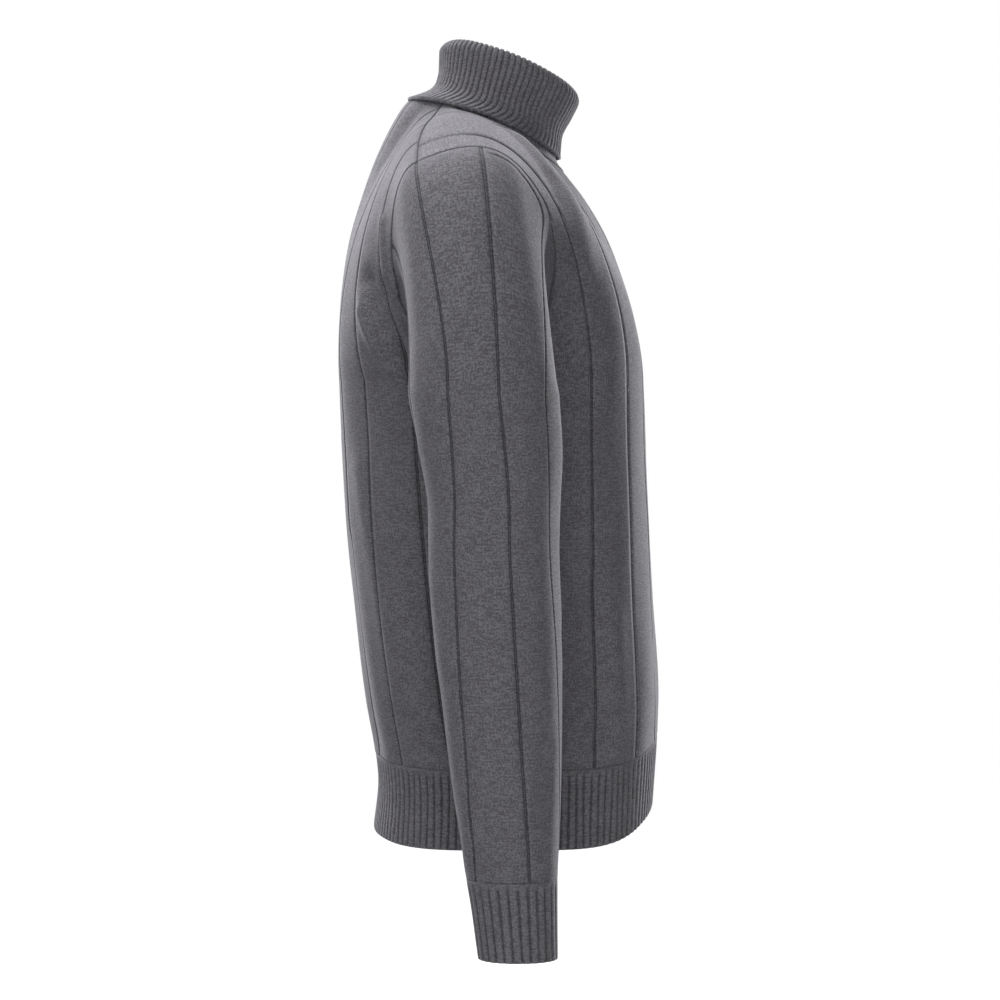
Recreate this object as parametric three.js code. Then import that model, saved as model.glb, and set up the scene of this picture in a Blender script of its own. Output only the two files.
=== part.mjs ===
import * as THREE from 'three';

// Turtleneck sweater of fine knit, filled out as when it is worn, open at the neck, hem and cuffs.
// Millimetres, +Z up, the front towards -Y and the wearer's left towards +X. The origin is the
// middle of the neck, level with the highest points of the shoulders.

const { clamp, degToRad, euclideanModulo, lerp } = THREE.MathUtils;

// Walls and seams
const KNIT_WALL = 2.2;
const RIB_WALL = 3;
const SEAM_GAP = 0.3;

// Relief: narrow sunk lines between broad stripes of plain knit, and the ribs of hem, cuffs and collar
const LINE_SPACING = 49;
const LINE_WIDTH = 3;
const LINE_DEPTH = 1.1;
const PANEL_LINES = 5;
const LINE_FADE = 70;
// How far the line beside each armhole moves towards it over the yoke
const FRONT_LINE_DRIFT = 14;
const BACK_LINE_DRIFT = -8;
const RIB_DEPTH = 1.3;
const HEM_RIB_SPACING = 7;
const CUFF_RIBS = 28;
const COLLAR_RIBS = 74;
const RIB_CREST = 0.27;
const RIB_GROOVE = 0.5;

// The plain inner side of a rib is coarser: one corner for so many ribs of the hem, and for so many
// degrees of the collar
const HEM_INNER_RIBS = 3;
const COLLAR_INNER_TURN = 9;

// Levels of the body and the sleeves
const CHEST = -250;
const HEM_RIB_TOP = -589;
const HEM_END = -658.5;
const HEM_RIB_START = 4;
const SLEEVE_RING = -268;
const CUFF_TOP = -672;
const CUFF_END = -739;

// The yoke's and the sleeve cap's own heights, measured along the knit above the chest and sleeve rings
const YOKE_RISE = 280;
const CAP_RISE = 190;

// How square the rings of body and sleeve are: 2 is an ellipse
const BODY_SQUARENESS = 2.85;
const SLEEVE_SQUARENESS = 2.15;
const RING_STEPS = 120;

// Armhole: the panel narrows from the chest line up to this share of the yoke
const ARMHOLE_CURVE = 0.45;

// Small steps for slopes of a surface, in millimetres, degrees and steps of the collar's table, and how
// close two places count as the same
const STEP = 0.6;
const TURN_STEP = 1;
const TABLE_STEP = 0.1;
const SAME_PLACE = 1e-6;

// Rings of the body: level at the sides, half width, depth to the front and to the back, and how much
// higher than its sides the ring hangs in the middle of the front and of the back
const BODY_RINGS = [
  { level: -658.5, wide: 156, front: 139.5, back: 115.2, liftFront: 31, liftBack: 8 },
  { level: -620, wide: 157, front: 142, back: 111.2, liftFront: 27, liftBack: 8 },
  { level: -589, wide: 159, front: 143.5, back: 113.6, liftFront: 23, liftBack: 8 },
  { level: -540, wide: 163, front: 144.2, back: 121.8, liftFront: 16, liftBack: 6 },
  { level: -450, wide: 166, front: 139.4, back: 132.8, liftFront: 6, liftBack: 3 },
  { level: -355, wide: 168, front: 135, back: 141.5, liftFront: 1, liftBack: 1 },
  { level: -250, wide: 172, front: 130.6, back: 146.3, liftFront: 0, liftBack: 0 },
];
const LIFT_POWER = 6;

// Neck seam: a tilted ring, with its lowest point in front and its sides off the plane by the arch
const NECK = { back: 2, up: -17, wide: 74, deep: 70.5, lean: 31.7, arch: -3.5 };
const NECK_POINT_TURN = 140;

// Shoulder seam from the neck to the top of the armhole, on the wearer's left
const SHOULDER_POINTS = [
  { out: 78, back: 59, up: -11 },
  { out: 112, back: 66.5, up: -25 },
  { out: 152, back: 70.5, up: -43 },
  { out: 203, back: 71, up: -68 },
];

// The yoke of each panel. At each distance across from the middle: the turn round the neck seam that it
// reaches, in degrees from the front, then the share of the shoulder seam, and the place that it passes
// half-way up
const FRONT_YOKE = [
  { across: 0, turn: 0, share: 0, x: 0, y: -106, z: -133 },
  { across: 22, turn: 18, share: 0, x: 23.5, y: -104.5, z: -132 },
  { across: 41, turn: 38, share: 0, x: 44, y: -100, z: -128 },
  { across: 54, turn: 56, share: 0, x: 58, y: -94.5, z: -122.5 },
  { across: 63.5, turn: 73, share: 0, x: 68.5, y: -89, z: -116 },
  { across: 71, turn: 90, share: 0, x: 76, y: -84, z: -110 },
  { across: 76.5, turn: 107, share: 0, x: 81, y: -80.5, z: -106 },
  { across: 81, turn: 123, share: 0, x: 85, y: -78, z: -103 },
  { across: 86, turn: 140, share: 0, x: 89, y: -75, z: -100 },
  { across: 110, turn: 140, share: 0.24, x: 108, y: -65, z: -88 },
  { across: 150, turn: 140, share: 0.56, x: 138, y: -52, z: -80 },
  { across: 205, turn: 140, share: 1, x: 191, y: -34, z: -93 },
];
const BACK_YOKE = [
  { across: 0, turn: 180, share: 0, x: 0, y: 133, z: -95 },
  { across: 30, turn: 156, share: 0, x: 31, y: 131, z: -97 },
  { across: 48, turn: 140, share: 0, x: 50, y: 127.5, z: -100 },
  { across: 110, turn: 140, share: 0.395, x: 106, y: 120, z: -113 },
  { across: 150, turn: 140, share: 0.65, x: 143, y: 111, z: -121 },
  { across: 190, turn: 140, share: 1, x: 184, y: 93, z: -133 },
];

// Pull of the knit, inward, backward and upward, where it leaves the chest line (0) and where it arrives
// at the seam (1). Half-way it is this share of the way left
const MID_PULL = 0.58;
const FRONT_PULLS = [
  { across: 0, in0: 0, back0: 0, up0: 130, in1: 0, back1: 48, up1: 55 },
  { across: 22, in0: 0, back0: 0, up0: 130, in1: 8, back1: 46, up1: 52 },
  { across: 41, in0: 0, back0: 0, up0: 132, in1: 19, back1: 42, up1: 46 },
  { across: 54, in0: 0, back0: 0, up0: 136, in1: 33, back1: 36, up1: 40 },
  { across: 63.5, in0: 0, back0: 0, up0: 140, in1: 50, back1: 33, up1: 38 },
  { across: 71, in0: 0, back0: 0, up0: 145, in1: 60, back1: 30, up1: 40 },
  { across: 76.5, in0: 0, back0: 0, up0: 150, in1: 85, back1: 32, up1: 50 },
  { across: 81, in0: 0, back0: 0, up0: 158, in1: 110, back1: 36, up1: 66 },
  { across: 86, in0: 0, back0: 0, up0: 165, in1: 135, back1: 40, up1: 80 },
  { across: 110, in0: 0, back0: 0, up0: 168, in1: 30, back1: 100, up1: -40 },
  { across: 150, in0: 10, back0: 0, up0: 175, in1: 20, back1: 135, up1: -75 },
  { across: 205, in0: 30, back0: 0, up0: 190, in1: 52, back1: 175, up1: -75 },
];
const BACK_PULLS = [
  { across: 0, in0: 0, back0: 7, up0: 110, in1: 0, back1: -110, up1: 30 },
  { across: 30, in0: 0, back0: 8, up0: 115, in1: 5, back1: -102, up1: 40 },
  { across: 48, in0: 0, back0: 10, up0: 120, in1: 5, back1: -75, up1: 35 },
  { across: 110, in0: 0, back0: 20, up0: 120, in1: -5, back1: -65, up1: 30 },
  { across: 150, in0: -5, back0: 32, up0: 120, in1: -10, back1: -55, up1: 25 },
  { across: 190, in0: -20, back0: 30, up0: 125, in1: -13, back1: -44, up1: 19 },
];

// Extra places across where the knit fans out to the neck seam, and the share of the yoke where they start
const FRONT_FAN = [37, 54, 63.5, 76.5, 81];
const BACK_FAN = [12, 36, 42];
const FAN_START = 0.25;

// Rings of the sleeve: level, place of the middle outward and backward, half width and half depth
const SLEEVE_RINGS = [
  { level: -739, out: 230, back: -15, wide: 33, deep: 33.6 },
  { level: -697, out: 231, back: -12, wide: 35.5, deep: 36.3 },
  { level: -672, out: 231.5, back: -10, wide: 37, deep: 38.4 },
  { level: -645, out: 232, back: -8.8, wide: 40.5, deep: 40.5 },
  { level: -605, out: 233.5, back: -5.8, wide: 44, deep: 44.3 },
  { level: -564, out: 235, back: -2.9, wide: 46.5, deep: 47.2 },
  { level: -520, out: 236, back: -0.4, wide: 49, deep: 49.7 },
  { level: -480, out: 237.5, back: 2.1, wide: 51, deep: 52.2 },
  { level: -400, out: 240, back: 6.3, wide: 53, deep: 53.9 },
  { level: -355, out: 242, back: 6.7, wide: 56, deep: 55.1 },
  { level: -313, out: 243.5, back: 9.6, wide: 58.5, deep: 59.7 },
  { level: -268, out: 244, back: 13.8, wide: 60, deep: 62.2 },
];

// Sleeve cap: the pull of the knit where it leaves the armhole and where it arrives at the first ring,
// from the outermost line of the sleeve (0) round to the underarm (1)
const CAP_PULLS = [
  { round: 0, leave: 150, arrive: 180 },
  { round: 0.25, leave: 140, arrive: 165 },
  { round: 0.5, leave: 75, arrive: 110 },
  { round: 0.75, leave: 42, arrive: 55 },
  { round: 1, leave: 24, arrive: 26 },
];
const CAP_TOP_BACK = 33;

// First sunk line of the sleeve, from its outermost line towards the front, the span that is kept at its
// real size where the sleeve narrows, and extra places near the underarm
const SLEEVE_LINE_START = 15;
const SLEEVE_LINES = [-2, -1, 0, 1, 2];
const SLEEVE_KEPT_BACK = 85;
const SLEEVE_KEPT_FRONT = 115;
const UNDERARM_PLACES = [-165, -138, -110, 140, 165];

// Collar, along the knit from the stand's low end over the roll to the free edge: middle of each tilted
// ring, half width, half depth in its own plane, tilt in degrees, and how far its sides rise off the plane
const COLLAR_RINGS = [
  { step: 0, back: 2.5, up: -8.5, wide: 63, deep: 59.8, lean: 34, arch: 1 },
  { step: 1, back: -2, up: 17, wide: 57, deep: 55, lean: 27, arch: 4 },
  { step: 2, back: -9, up: 37.5, wide: 57, deep: 59, lean: 21.3, arch: 5 },
  { step: 3, back: -10, up: 42.5, wide: 62, deep: 63.2, lean: 20.9, arch: 5 },
  { step: 4, back: -8.75, up: 35.5, wide: 66, deep: 68.3, lean: 21, arch: 5 },
  { step: 5, back: -5.2, up: 23.5, wide: 66, deep: 66.7, lean: 23.4, arch: 4.5 },
  { step: 6, back: -0.5, up: 8.5, wide: 66.5, deep: 63.7, lean: 25.5, arch: 4 },
  { step: 7, back: 3.5, up: -4.4, wide: 70, deep: 66.5, lean: 26.5, arch: 3.5 },
  { step: 8, back: 14.5, up: -11, wide: 79, deep: 76.6, lean: 23, arch: 3.5 },
];
const COLLAR_STEPS = [0, 1, 2, 2.5, 3, 3.5, 4, 5, 6, 7, 8];
const COLLAR_FOOT = 5;

// Largest folds of the panels: a ridge (or a trough, below 0) between two places, given across from the
// middle and up the knit, with its half width and height. They fade out towards side seam and armhole
const FOLD_FADE = 22;
const FRONT_FOLDS = [
  { across0: -176, up0: -430, across1: -170, up1: -560, wide: 16, high: -4 },
  { across0: 176, up0: -400, across1: 168, up1: -545, wide: 17, high: -4 },
  { across0: -118, up0: -60, across1: -165, up1: -170, wide: 16, high: 3 },
  { across0: 118, up0: -60, across1: 165, up1: -170, wide: 16, high: 3 },
];
const BACK_FOLDS = [
  { across0: -150, up0: -170, across1: -208, up1: -330, wide: 13, high: 4.5 },
  { across0: -182, up0: -165, across1: -228, up1: -262, wide: 11, high: -5 },
  { across0: 152, up0: -150, across1: 206, up1: -315, wide: 13, high: 4.5 },
  { across0: 184, up0: -160, across1: 230, up1: -255, wide: 11, high: -5 },
];

const GREY = { body: 0x5d5c61, rib: 0x55545a };

// Cubic between two values with given slopes
function ease(from, to, slope0, slope1, t) {
  const t2 = t * t;
  const t3 = t2 * t;
  return (2 * t3 - 3 * t2 + 1) * from + (t3 - 2 * t2 + t) * slope0
    + (3 * t2 - 2 * t3) * to + (t3 - t2) * slope1;
}

// Gives a function that reads every column of a table at any value of its key column
function tableReader(rows, key, smooth) {
  const names = Object.keys(rows[0]).filter((name) => name !== key);
  const slopeAt = (i, name) => {
    const before = rows[Math.max(i - 1, 0)];
    const after = rows[Math.min(i + 1, rows.length - 1)];
    return (after[name] - before[name]) / (after[key] - before[key]);
  };
  return (at) => {
    let i = 0;
    while (i < rows.length - 2 && at > rows[i + 1][key]) i += 1;
    const [a, b] = [rows[i], rows[i + 1]];
    const span = b[key] - a[key];
    const t = clamp((at - a[key]) / span, 0, 1);
    const values = {};
    for (const name of names) {
      values[name] = smooth
        ? ease(a[name], b[name], slopeAt(i, name) * span, slopeAt(i + 1, name) * span, t)
        : lerp(a[name], b[name], t);
    }
    return values;
  };
}

// Reads a table the other way round: the key where a rising or falling column has the given value
function keyWhere(rows, key, name, value) {
  for (let i = 0; i < rows.length - 1; i += 1) {
    const [a, b] = [rows[i], rows[i + 1]];
    if (a[name] !== b[name] && (value - a[name]) * (value - b[name]) <= 0) {
      return lerp(a[key], b[key], (value - a[name]) / (b[name] - a[name]));
    }
  }
  return rows.at(-1)[key];
}

function lengthOf(points) {
  let total = 0;
  for (let i = 1; i < points.length; i += 1) total += points[i].distanceTo(points[i - 1]);
  return total;
}

// Point at a distance along a row of points
function pointAlong(points, distance) {
  let left = distance;
  for (let i = 1; i < points.length; i += 1) {
    const piece = points[i].distanceTo(points[i - 1]);
    if (left <= piece) return points[i - 1].clone().lerp(points[i], Math.max(left, 0) / piece);
    left -= piece;
  }
  return points.at(-1).clone();
}

// Ridges and troughs: height at one place of a panel
function foldHeight(folds, across, up) {
  let height = 0;
  for (const fold of folds) {
    const along = { across: fold.across1 - fold.across0, up: fold.up1 - fold.up0 };
    const from = { across: across - fold.across0, up: up - fold.up0 };
    const size = along.across ** 2 + along.up ** 2;
    const t = clamp((from.across * along.across + from.up * along.up) / size, 0, 1);
    const away = Math.hypot(from.across - t * along.across, from.up - t * along.up) / fold.wide;
    height += fold.high * Math.exp(-away * away);
  }
  return height;
}

function tiltedRing(ring, turn) {
  const angle = degToRad(turn);
  const lean = degToRad(ring.lean);
  const along = -ring.deep * Math.cos(angle);
  return new THREE.Vector3(
    ring.wide * Math.sin(angle),
    ring.back + along * Math.cos(lean),
    ring.up + along * Math.sin(lean) + ring.arch * Math.sin(angle) ** 2,
  );
}

const bodyRing = tableReader(BODY_RINGS, 'level', true);
const sleeveRing = tableReader(SLEEVE_RINGS, 'level', true);
const collarRing = tableReader(COLLAR_RINGS, 'step', true);
const capPull = tableReader(CAP_PULLS, 'round', true);
const shoulderSeam = new THREE.CatmullRomCurve3([
  tiltedRing(NECK, NECK_POINT_TURN),
  ...SHOULDER_POINTS.map(({ out, back, up }) => new THREE.Vector3(out, back, up)),
]);

// Half of a body ring, from the middle of the front or the back to the wearer's left side
function halfRing(panel, level) {
  const ring = bodyRing(level);
  const [depth, lift] = panel.facing > 0 ? [ring.back, ring.liftBack] : [-ring.front, ring.liftFront];
  const points = [];
  for (let i = 0; i <= RING_STEPS; i += 1) {
    const angle = (i / RING_STEPS) * (Math.PI / 2);
    const x = ring.wide * Math.sin(angle) ** (2 / BODY_SQUARENESS);
    const y = depth * Math.cos(angle) ** (2 / BODY_SQUARENESS);
    points.push(new THREE.Vector3(x, y, level + lift * (y / depth) ** LIFT_POWER));
  }
  return points;
}

function newPanel(panel) {
  const chestRing = halfRing(panel, CHEST);
  return {
    ...panel,
    chestRing,
    half: lengthOf(chestRing),
    narrow: panel.yoke.at(-1).across,
    neckCorner: keyWhere(panel.yoke, 'across', 'turn', NECK_POINT_TURN),
    topAt: tableReader(panel.yoke, 'across', false),
    middleAt: tableReader(panel.yoke, 'across', true),
    pullAt: tableReader(panel.pulls, 'across', true),
  };
}
const FRONT = newPanel({
  facing: -1,
  drift: FRONT_LINE_DRIFT,
  yoke: FRONT_YOKE,
  pulls: FRONT_PULLS,
  folds: FRONT_FOLDS,
  fan: FRONT_FAN,
});
const BACK = newPanel({
  facing: 1,
  drift: BACK_LINE_DRIFT,
  yoke: BACK_YOKE,
  pulls: BACK_PULLS,
  folds: BACK_FOLDS,
  fan: BACK_FAN,
});

// Share of the yoke's height at a place up the knit
const yokeShare = (up) => (up - CHEST) / YOKE_RISE;

// Distance across from the middle to the panel's edge: its side seam, or its armhole above the chest
function panelEdge(panel, up) {
  if (up < CHEST) return lengthOf(halfRing(panel, up));
  const left = 1 - Math.min(yokeShare(up) / ARMHOLE_CURVE, 1);
  return panel.half - (panel.half - panel.narrow) * Math.sqrt(1 - left * left);
}

function yokeTop(panel, across) {
  const place = panel.topAt(across);
  return across < panel.neckCorner
    ? tiltedRing(NECK, place.turn)
    : shoulderSeam.getPoint(clamp(place.share, 0, 1));
}

// Smooth surface of a panel, before its folds: across is above 0 towards the wearer's left
function panelSurface(panel, across, up) {
  const side = across < 0 ? -1 : 1;
  const out = Math.abs(across);
  let point;
  if (up <= CHEST) {
    point = pointAlong(halfRing(panel, up), out);
  } else {
    const v = 2 * yokeShare(up);
    const low = pointAlong(panel.chestRing, out);
    const top = yokeTop(panel, out);
    const pull = panel.pullAt(out);
    const middle = panel.middleAt(out);
    const column = (from, mid, to, leave, arrive) => {
      const through = MID_PULL * (to - from);
      return v < 1 ? ease(from, mid, leave, through, v) : ease(mid, to, through, arrive, v - 1);
    };
    point = new THREE.Vector3(
      column(low.x, middle.x, top.x, -pull.in0, -pull.in1),
      column(low.y, middle.y, top.y, pull.back0, pull.back1),
      column(low.z, middle.z, top.z, pull.up0, pull.up1),
    );
  }
  point.x *= side;
  return point;
}

// Slopes and outward normal of a surface at one place
function slopes(surface, a, b) {
  const alongA = surface(a + STEP, b).sub(surface(a - STEP, b)).normalize();
  const alongB = surface(a, b + STEP).sub(surface(a, b - STEP)).normalize();
  return { alongA, alongB, normal: alongA.clone().cross(alongB).normalize() };
}

// Places across a panel are counted on the chest line. Past the last kept line they are drawn together
// as the panel narrows, and over the yoke that line drifts towards the armhole or away from it
const KEPT_ACROSS = 3.5 * LINE_SPACING + LINE_WIDTH / 2;
function acrossAt(panel, place, up) {
  const out = Math.abs(place);
  const drift = panel.drift * THREE.MathUtils.smoothstep(yokeShare(up), 0, ARMHOLE_CURVE);
  if (out <= KEPT_ACROSS) {
    const moved = clamp(1 - (KEPT_ACROSS - out) / LINE_SPACING, 0, 1);
    return place + Math.sign(place) * drift * moved;
  }
  const share = (out - KEPT_ACROSS) / (panel.half - KEPT_ACROSS);
  return Math.sign(place) * lerp(KEPT_ACROSS + drift, panelEdge(panel, up), share);
}

function panelFrame(panel, place, up) {
  const across = acrossAt(panel, place, up);
  const surface = (a, b) => panelSurface(panel, a, b);
  const frame = slopes(surface, across, up);
  if (panel.facing > 0) frame.normal.negate();
  const fade = clamp((panelEdge(panel, up) - Math.abs(across)) / FOLD_FADE, 0, 1);
  const height = fade * foldHeight(panel.folds, across, up);
  frame.point = surface(across, up).addScaledVector(frame.normal, height);
  return frame;
}

// Edge of a panel on the wearer's left, with the direction that leaves the panel
function panelEdgeFrame(panel, up) {
  const frame = panelFrame(panel, panel.half, up);
  if (up < CHEST) {
    frame.away = frame.alongA;
    return frame;
  }
  if (up === CHEST) frame.normal.set(1, 0, 0);
  const next = panelSurface(panel, panelEdge(panel, up + STEP), up + STEP);
  const below = Math.max(up - STEP, CHEST);
  const last = panelSurface(panel, panelEdge(panel, below), below);
  frame.away = next.sub(last).cross(frame.normal).multiplyScalar(-panel.facing).normalize();
  return frame;
}

const mirrored = (vector, side) => new THREE.Vector3(vector.x * side, vector.y, vector.z);

// Shoulder seam at a share of its length: both panels use the same points and wall direction there
function shoulderFrame(share) {
  const normal = new THREE.Vector3();
  for (const panel of [FRONT, BACK]) {
    const across = keyWhere(panel.yoke, 'across', 'share', share);
    normal.add(panelFrame(panel, across, CHEST + YOKE_RISE).normal);
  }
  normal.normalize();
  const along = shoulderSeam.getTangent(share);
  return { point: shoulderSeam.getPoint(share), normal, away: along.cross(normal).normalize() };
}

// Depth of the sunk lines. Those beside the armholes end on the chest line
function lineDepth(place, up) {
  const beyond = Math.abs(place) > KEPT_ACROSS;
  const nearest = (Math.floor(Math.abs(place) / LINE_SPACING) + 0.5) * LINE_SPACING;
  const onLine = Math.abs(Math.abs(place) - nearest) < LINE_WIDTH / 4;
  const fade = beyond ? clamp((CHEST - up) / LINE_FADE, 0, 1) : 1;
  return onLine ? LINE_DEPTH * fade : 0;
}

// Rows of corners become one closed wall
function addRow(wall, items, closed) {
  const row = items.map(({ place, point }) => {
    wall.corners.push(point.x, point.y, point.z);
    return { corner: wall.corners.length / 3 - 1, place };
  });
  if (closed) row.push({ corner: row[0].corner, place: row[0].place + closed });
  return row;
}

// Fills the strip between two rows, which may hold different numbers of corners. Where both rows have a
// corner at the same place, the shorter diagonal is taken, so that walls on both sides of a seam agree
function fillStrip(wall, low, high, flip) {
  const at = (item) => new THREE.Vector3().fromArray(wall.corners, 3 * item.corner);
  const lowFirst = (i, j) => {
    if (j === high.length - 1) return true;
    if (i === low.length - 1) return false;
    const lead = low[i + 1].place - high[j + 1].place;
    if (Math.abs(lead) > SAME_PLACE) return lead < 0;
    return at(low[i + 1]).distanceTo(at(high[j])) <= at(low[i]).distanceTo(at(high[j + 1]));
  };
  let i = 0;
  let j = 0;
  while (i < low.length - 1 || j < high.length - 1) {
    const stepLow = lowFirst(i, j);
    const face = stepLow
      ? [low[i], low[i + 1], high[j]]
      : [low[i], high[j + 1], high[j]];
    if (stepLow) i += 1;
    else j += 1;
    const corners = face.map((item) => item.corner);
    wall.faces.push(...(flip ? corners.reverse() : corners));
  }
}

// One closed wall from rows of outer and inner points, in the same order. closed is the full turn of a
// tube's places, or 0 for a panel that has side edges
function buildWall(rows, closed) {
  const wall = { corners: [], faces: [] };
  const outer = rows.map((row) => addRow(wall, row.outer, closed));
  const inner = rows.map((row) => addRow(wall, row.inner, closed));
  for (let i = 1; i < rows.length; i += 1) {
    fillStrip(wall, outer[i - 1], outer[i], false);
    fillStrip(wall, inner[i - 1], inner[i], true);
  }
  fillStrip(wall, inner[0], outer[0], false);
  fillStrip(wall, outer.at(-1), inner.at(-1), false);
  if (!closed) {
    const edge = (rowsOf, end) => rowsOf.map((row, i) => ({ corner: row.at(end).corner, place: i }));
    fillStrip(wall, edge(outer, 0), edge(inner, 0), false);
    fillStrip(wall, edge(inner, -1), edge(outer, -1), false);
  }
  return wall;
}

function signedVolume({ corners, faces }) {
  const corner = (i) => new THREE.Vector3().fromArray(corners, 3 * i);
  let sum = 0;
  for (let i = 0; i < faces.length; i += 3) {
    sum += corner(faces[i]).dot(corner(faces[i + 1]).cross(corner(faces[i + 2])));
  }
  return sum / 6;
}

const group = new THREE.Group();

function addPiece(name, wall, color) {
  if (signedVolume(wall) < 0) wall.faces.reverse();
  const geometry = new THREE.BufferGeometry();
  geometry.setAttribute('position', new THREE.Float32BufferAttribute(wall.corners, 3));
  geometry.setIndex(wall.faces);
  geometry.computeVertexNormals();
  const material = new THREE.MeshStandardMaterial({ color, roughness: 0.95, metalness: 0 });
  const mesh = new THREE.Mesh(geometry, material);
  mesh.name = name;
  group.add(mesh);
}

// Both halves of a row from its places on the wearer's left, so that the middle is listed once
const bothSides = (places) => [...places.filter((p) => p > 0).map((p) => -p).reverse(), ...places];

// Places across a panel, on the outer face with the edges of the sunk lines, on the inner face without
function panelPlaces(panel, up, isOuter) {
  const places = [0];
  for (let line = 0.5; line < PANEL_LINES; line += 1) {
    const at = line * LINE_SPACING;
    const edges = isOuter ? [at - LINE_WIDTH / 2, at, at + LINE_WIDTH / 2] : [at];
    places.push(...edges, Math.min((line + 0.5) * LINE_SPACING, (at + panel.half) / 2));
  }
  places.push(panel.half);
  if (yokeShare(up) > FAN_START) places.push(panel.neckCorner, ...panel.fan);
  return [...new Set(places)].sort((a, b) => a - b);
}

// Rows of the panels, as shares of the yoke and as levels below the chest line, and corners along the
// shoulder seam
const SHOULDER_SHARES = [0.12, 0.24, 0.37, 0.5, 0.63, 0.76, 0.88];
const YOKE_ROWS = [0.05, 0.11, 0.19, 0.3, 0.42, 0.54, 0.66, 0.77, 0.87, 0.95];
const BODY_ROWS = [-540, -485, -425, -365, -315, -277, -259];

// Turns round the neck seam where panels and collar share corners, from the front to the back
const FRONT_TURNS = [0, 18, 38, 56, 73, 90, 107, 123];
const BACK_TURNS = [180, 170, 160, 150];

// A corner of a panel's neck seam, with the direction in which the knit goes on into the collar
function neckFrame(panel, turn) {
  if (turn === NECK_POINT_TURN) {
    const corner = shoulderFrame(0);
    corner.up = new THREE.Vector3();
    for (const each of [FRONT, BACK]) {
      corner.up.add(panelFrame(each, each.neckCorner, CHEST + YOKE_RISE).alongB);
    }
    corner.up.normalize();
    return corner;
  }
  const frame = panelFrame(panel, keyWhere(panel.yoke, 'across', 'turn', turn), CHEST + YOKE_RISE);
  frame.up = frame.alongB;
  return frame;
}

// Top edge of a panel on the wearer's left: the neck seam, then the shoulder seam
function panelTop(panel) {
  const half = SEAM_GAP / 2;
  const items = [];
  for (const turn of panel.facing > 0 ? BACK_TURNS : FRONT_TURNS) {
    const frame = neckFrame(panel, turn);
    const point = frame.point.clone().addScaledVector(frame.up, -half);
    items.push({ place: keyWhere(panel.yoke, 'across', 'turn', turn), point, normal: frame.normal });
  }
  for (const share of [0, ...SHOULDER_SHARES, 1]) {
    const frame = shoulderFrame(share);
    const point = frame.point.clone().addScaledVector(frame.away, -half * panel.facing);
    if (share === 0) point.addScaledVector(neckFrame(panel, NECK_POINT_TURN).up, -half);
    let place = keyWhere(panel.yoke, 'across', 'share', share);
    if (share === 1) {
      point.addScaledVector(panelEdgeFrame(panel, CHEST + YOKE_RISE).away, -half);
      place = panel.half;
    }
    items.push({ place, point, normal: frame.normal });
  }
  return items;
}

// One row of a panel's outer or inner face, from edge to edge, with the seam gap at both edges
function edgeRow(panel, up, isOuter, depthAt) {
  const edge = panelEdgeFrame(panel, up);
  if (up === CHEST) edge.away.add(edge.alongA);
  return bothSides(panelPlaces(panel, up, isOuter)).map((place) => {
    const onEdge = Math.abs(place) === panel.half;
    const frame = onEdge ? edge : panelFrame(panel, place, up);
    const point = frame.point.clone().addScaledVector(frame.normal, -depthAt(place));
    if (!onEdge) return { place, point };
    point.addScaledVector(edge.away, -SEAM_GAP / 2);
    return { place, point: mirrored(point, Math.sign(place)) };
  });
}

function panelRows(panel) {
  const ups = [HEM_RIB_TOP + SEAM_GAP / 2, ...BODY_ROWS, CHEST];
  ups.push(...YOKE_ROWS.map((v) => CHEST + v * YOKE_RISE));
  const rows = ups.map((up) => ({
    outer: edgeRow(panel, up, true, (place) => lineDepth(place, up)),
    inner: edgeRow(panel, up, false, () => KNIT_WALL),
  }));
  const top = panelTop(panel);
  const topRow = (depth) => {
    const right = top.map(({ place, point, normal }) => (
      { place, point: point.clone().addScaledVector(normal, -depth) }));
    const left = right.filter(({ place }) => place > 0).reverse()
      .map(({ place, point }) => ({ place: -place, point: mirrored(point, -1) }));
    return [...left, ...right];
  };
  rows.push({ outer: topRow(0), inner: topRow(KNIT_WALL) });
  return rows;
}

// Outer and inner corners across a ribbed strip: the crest's two edges and the groove between ribs
function ribItems(from, to, spacing, pointAt) {
  const items = [];
  for (let rib = Math.ceil(from / spacing); rib <= to / spacing + SAME_PLACE; rib += 1) {
    for (const part of [-RIB_CREST, RIB_CREST, RIB_GROOVE]) {
      const place = (rib + part) * spacing;
      const depth = part === RIB_GROOVE ? RIB_DEPTH : 0;
      if (place > from && place < to) items.push({ place, point: pointAt(place, depth) });
    }
  }
  return items;
}

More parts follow.
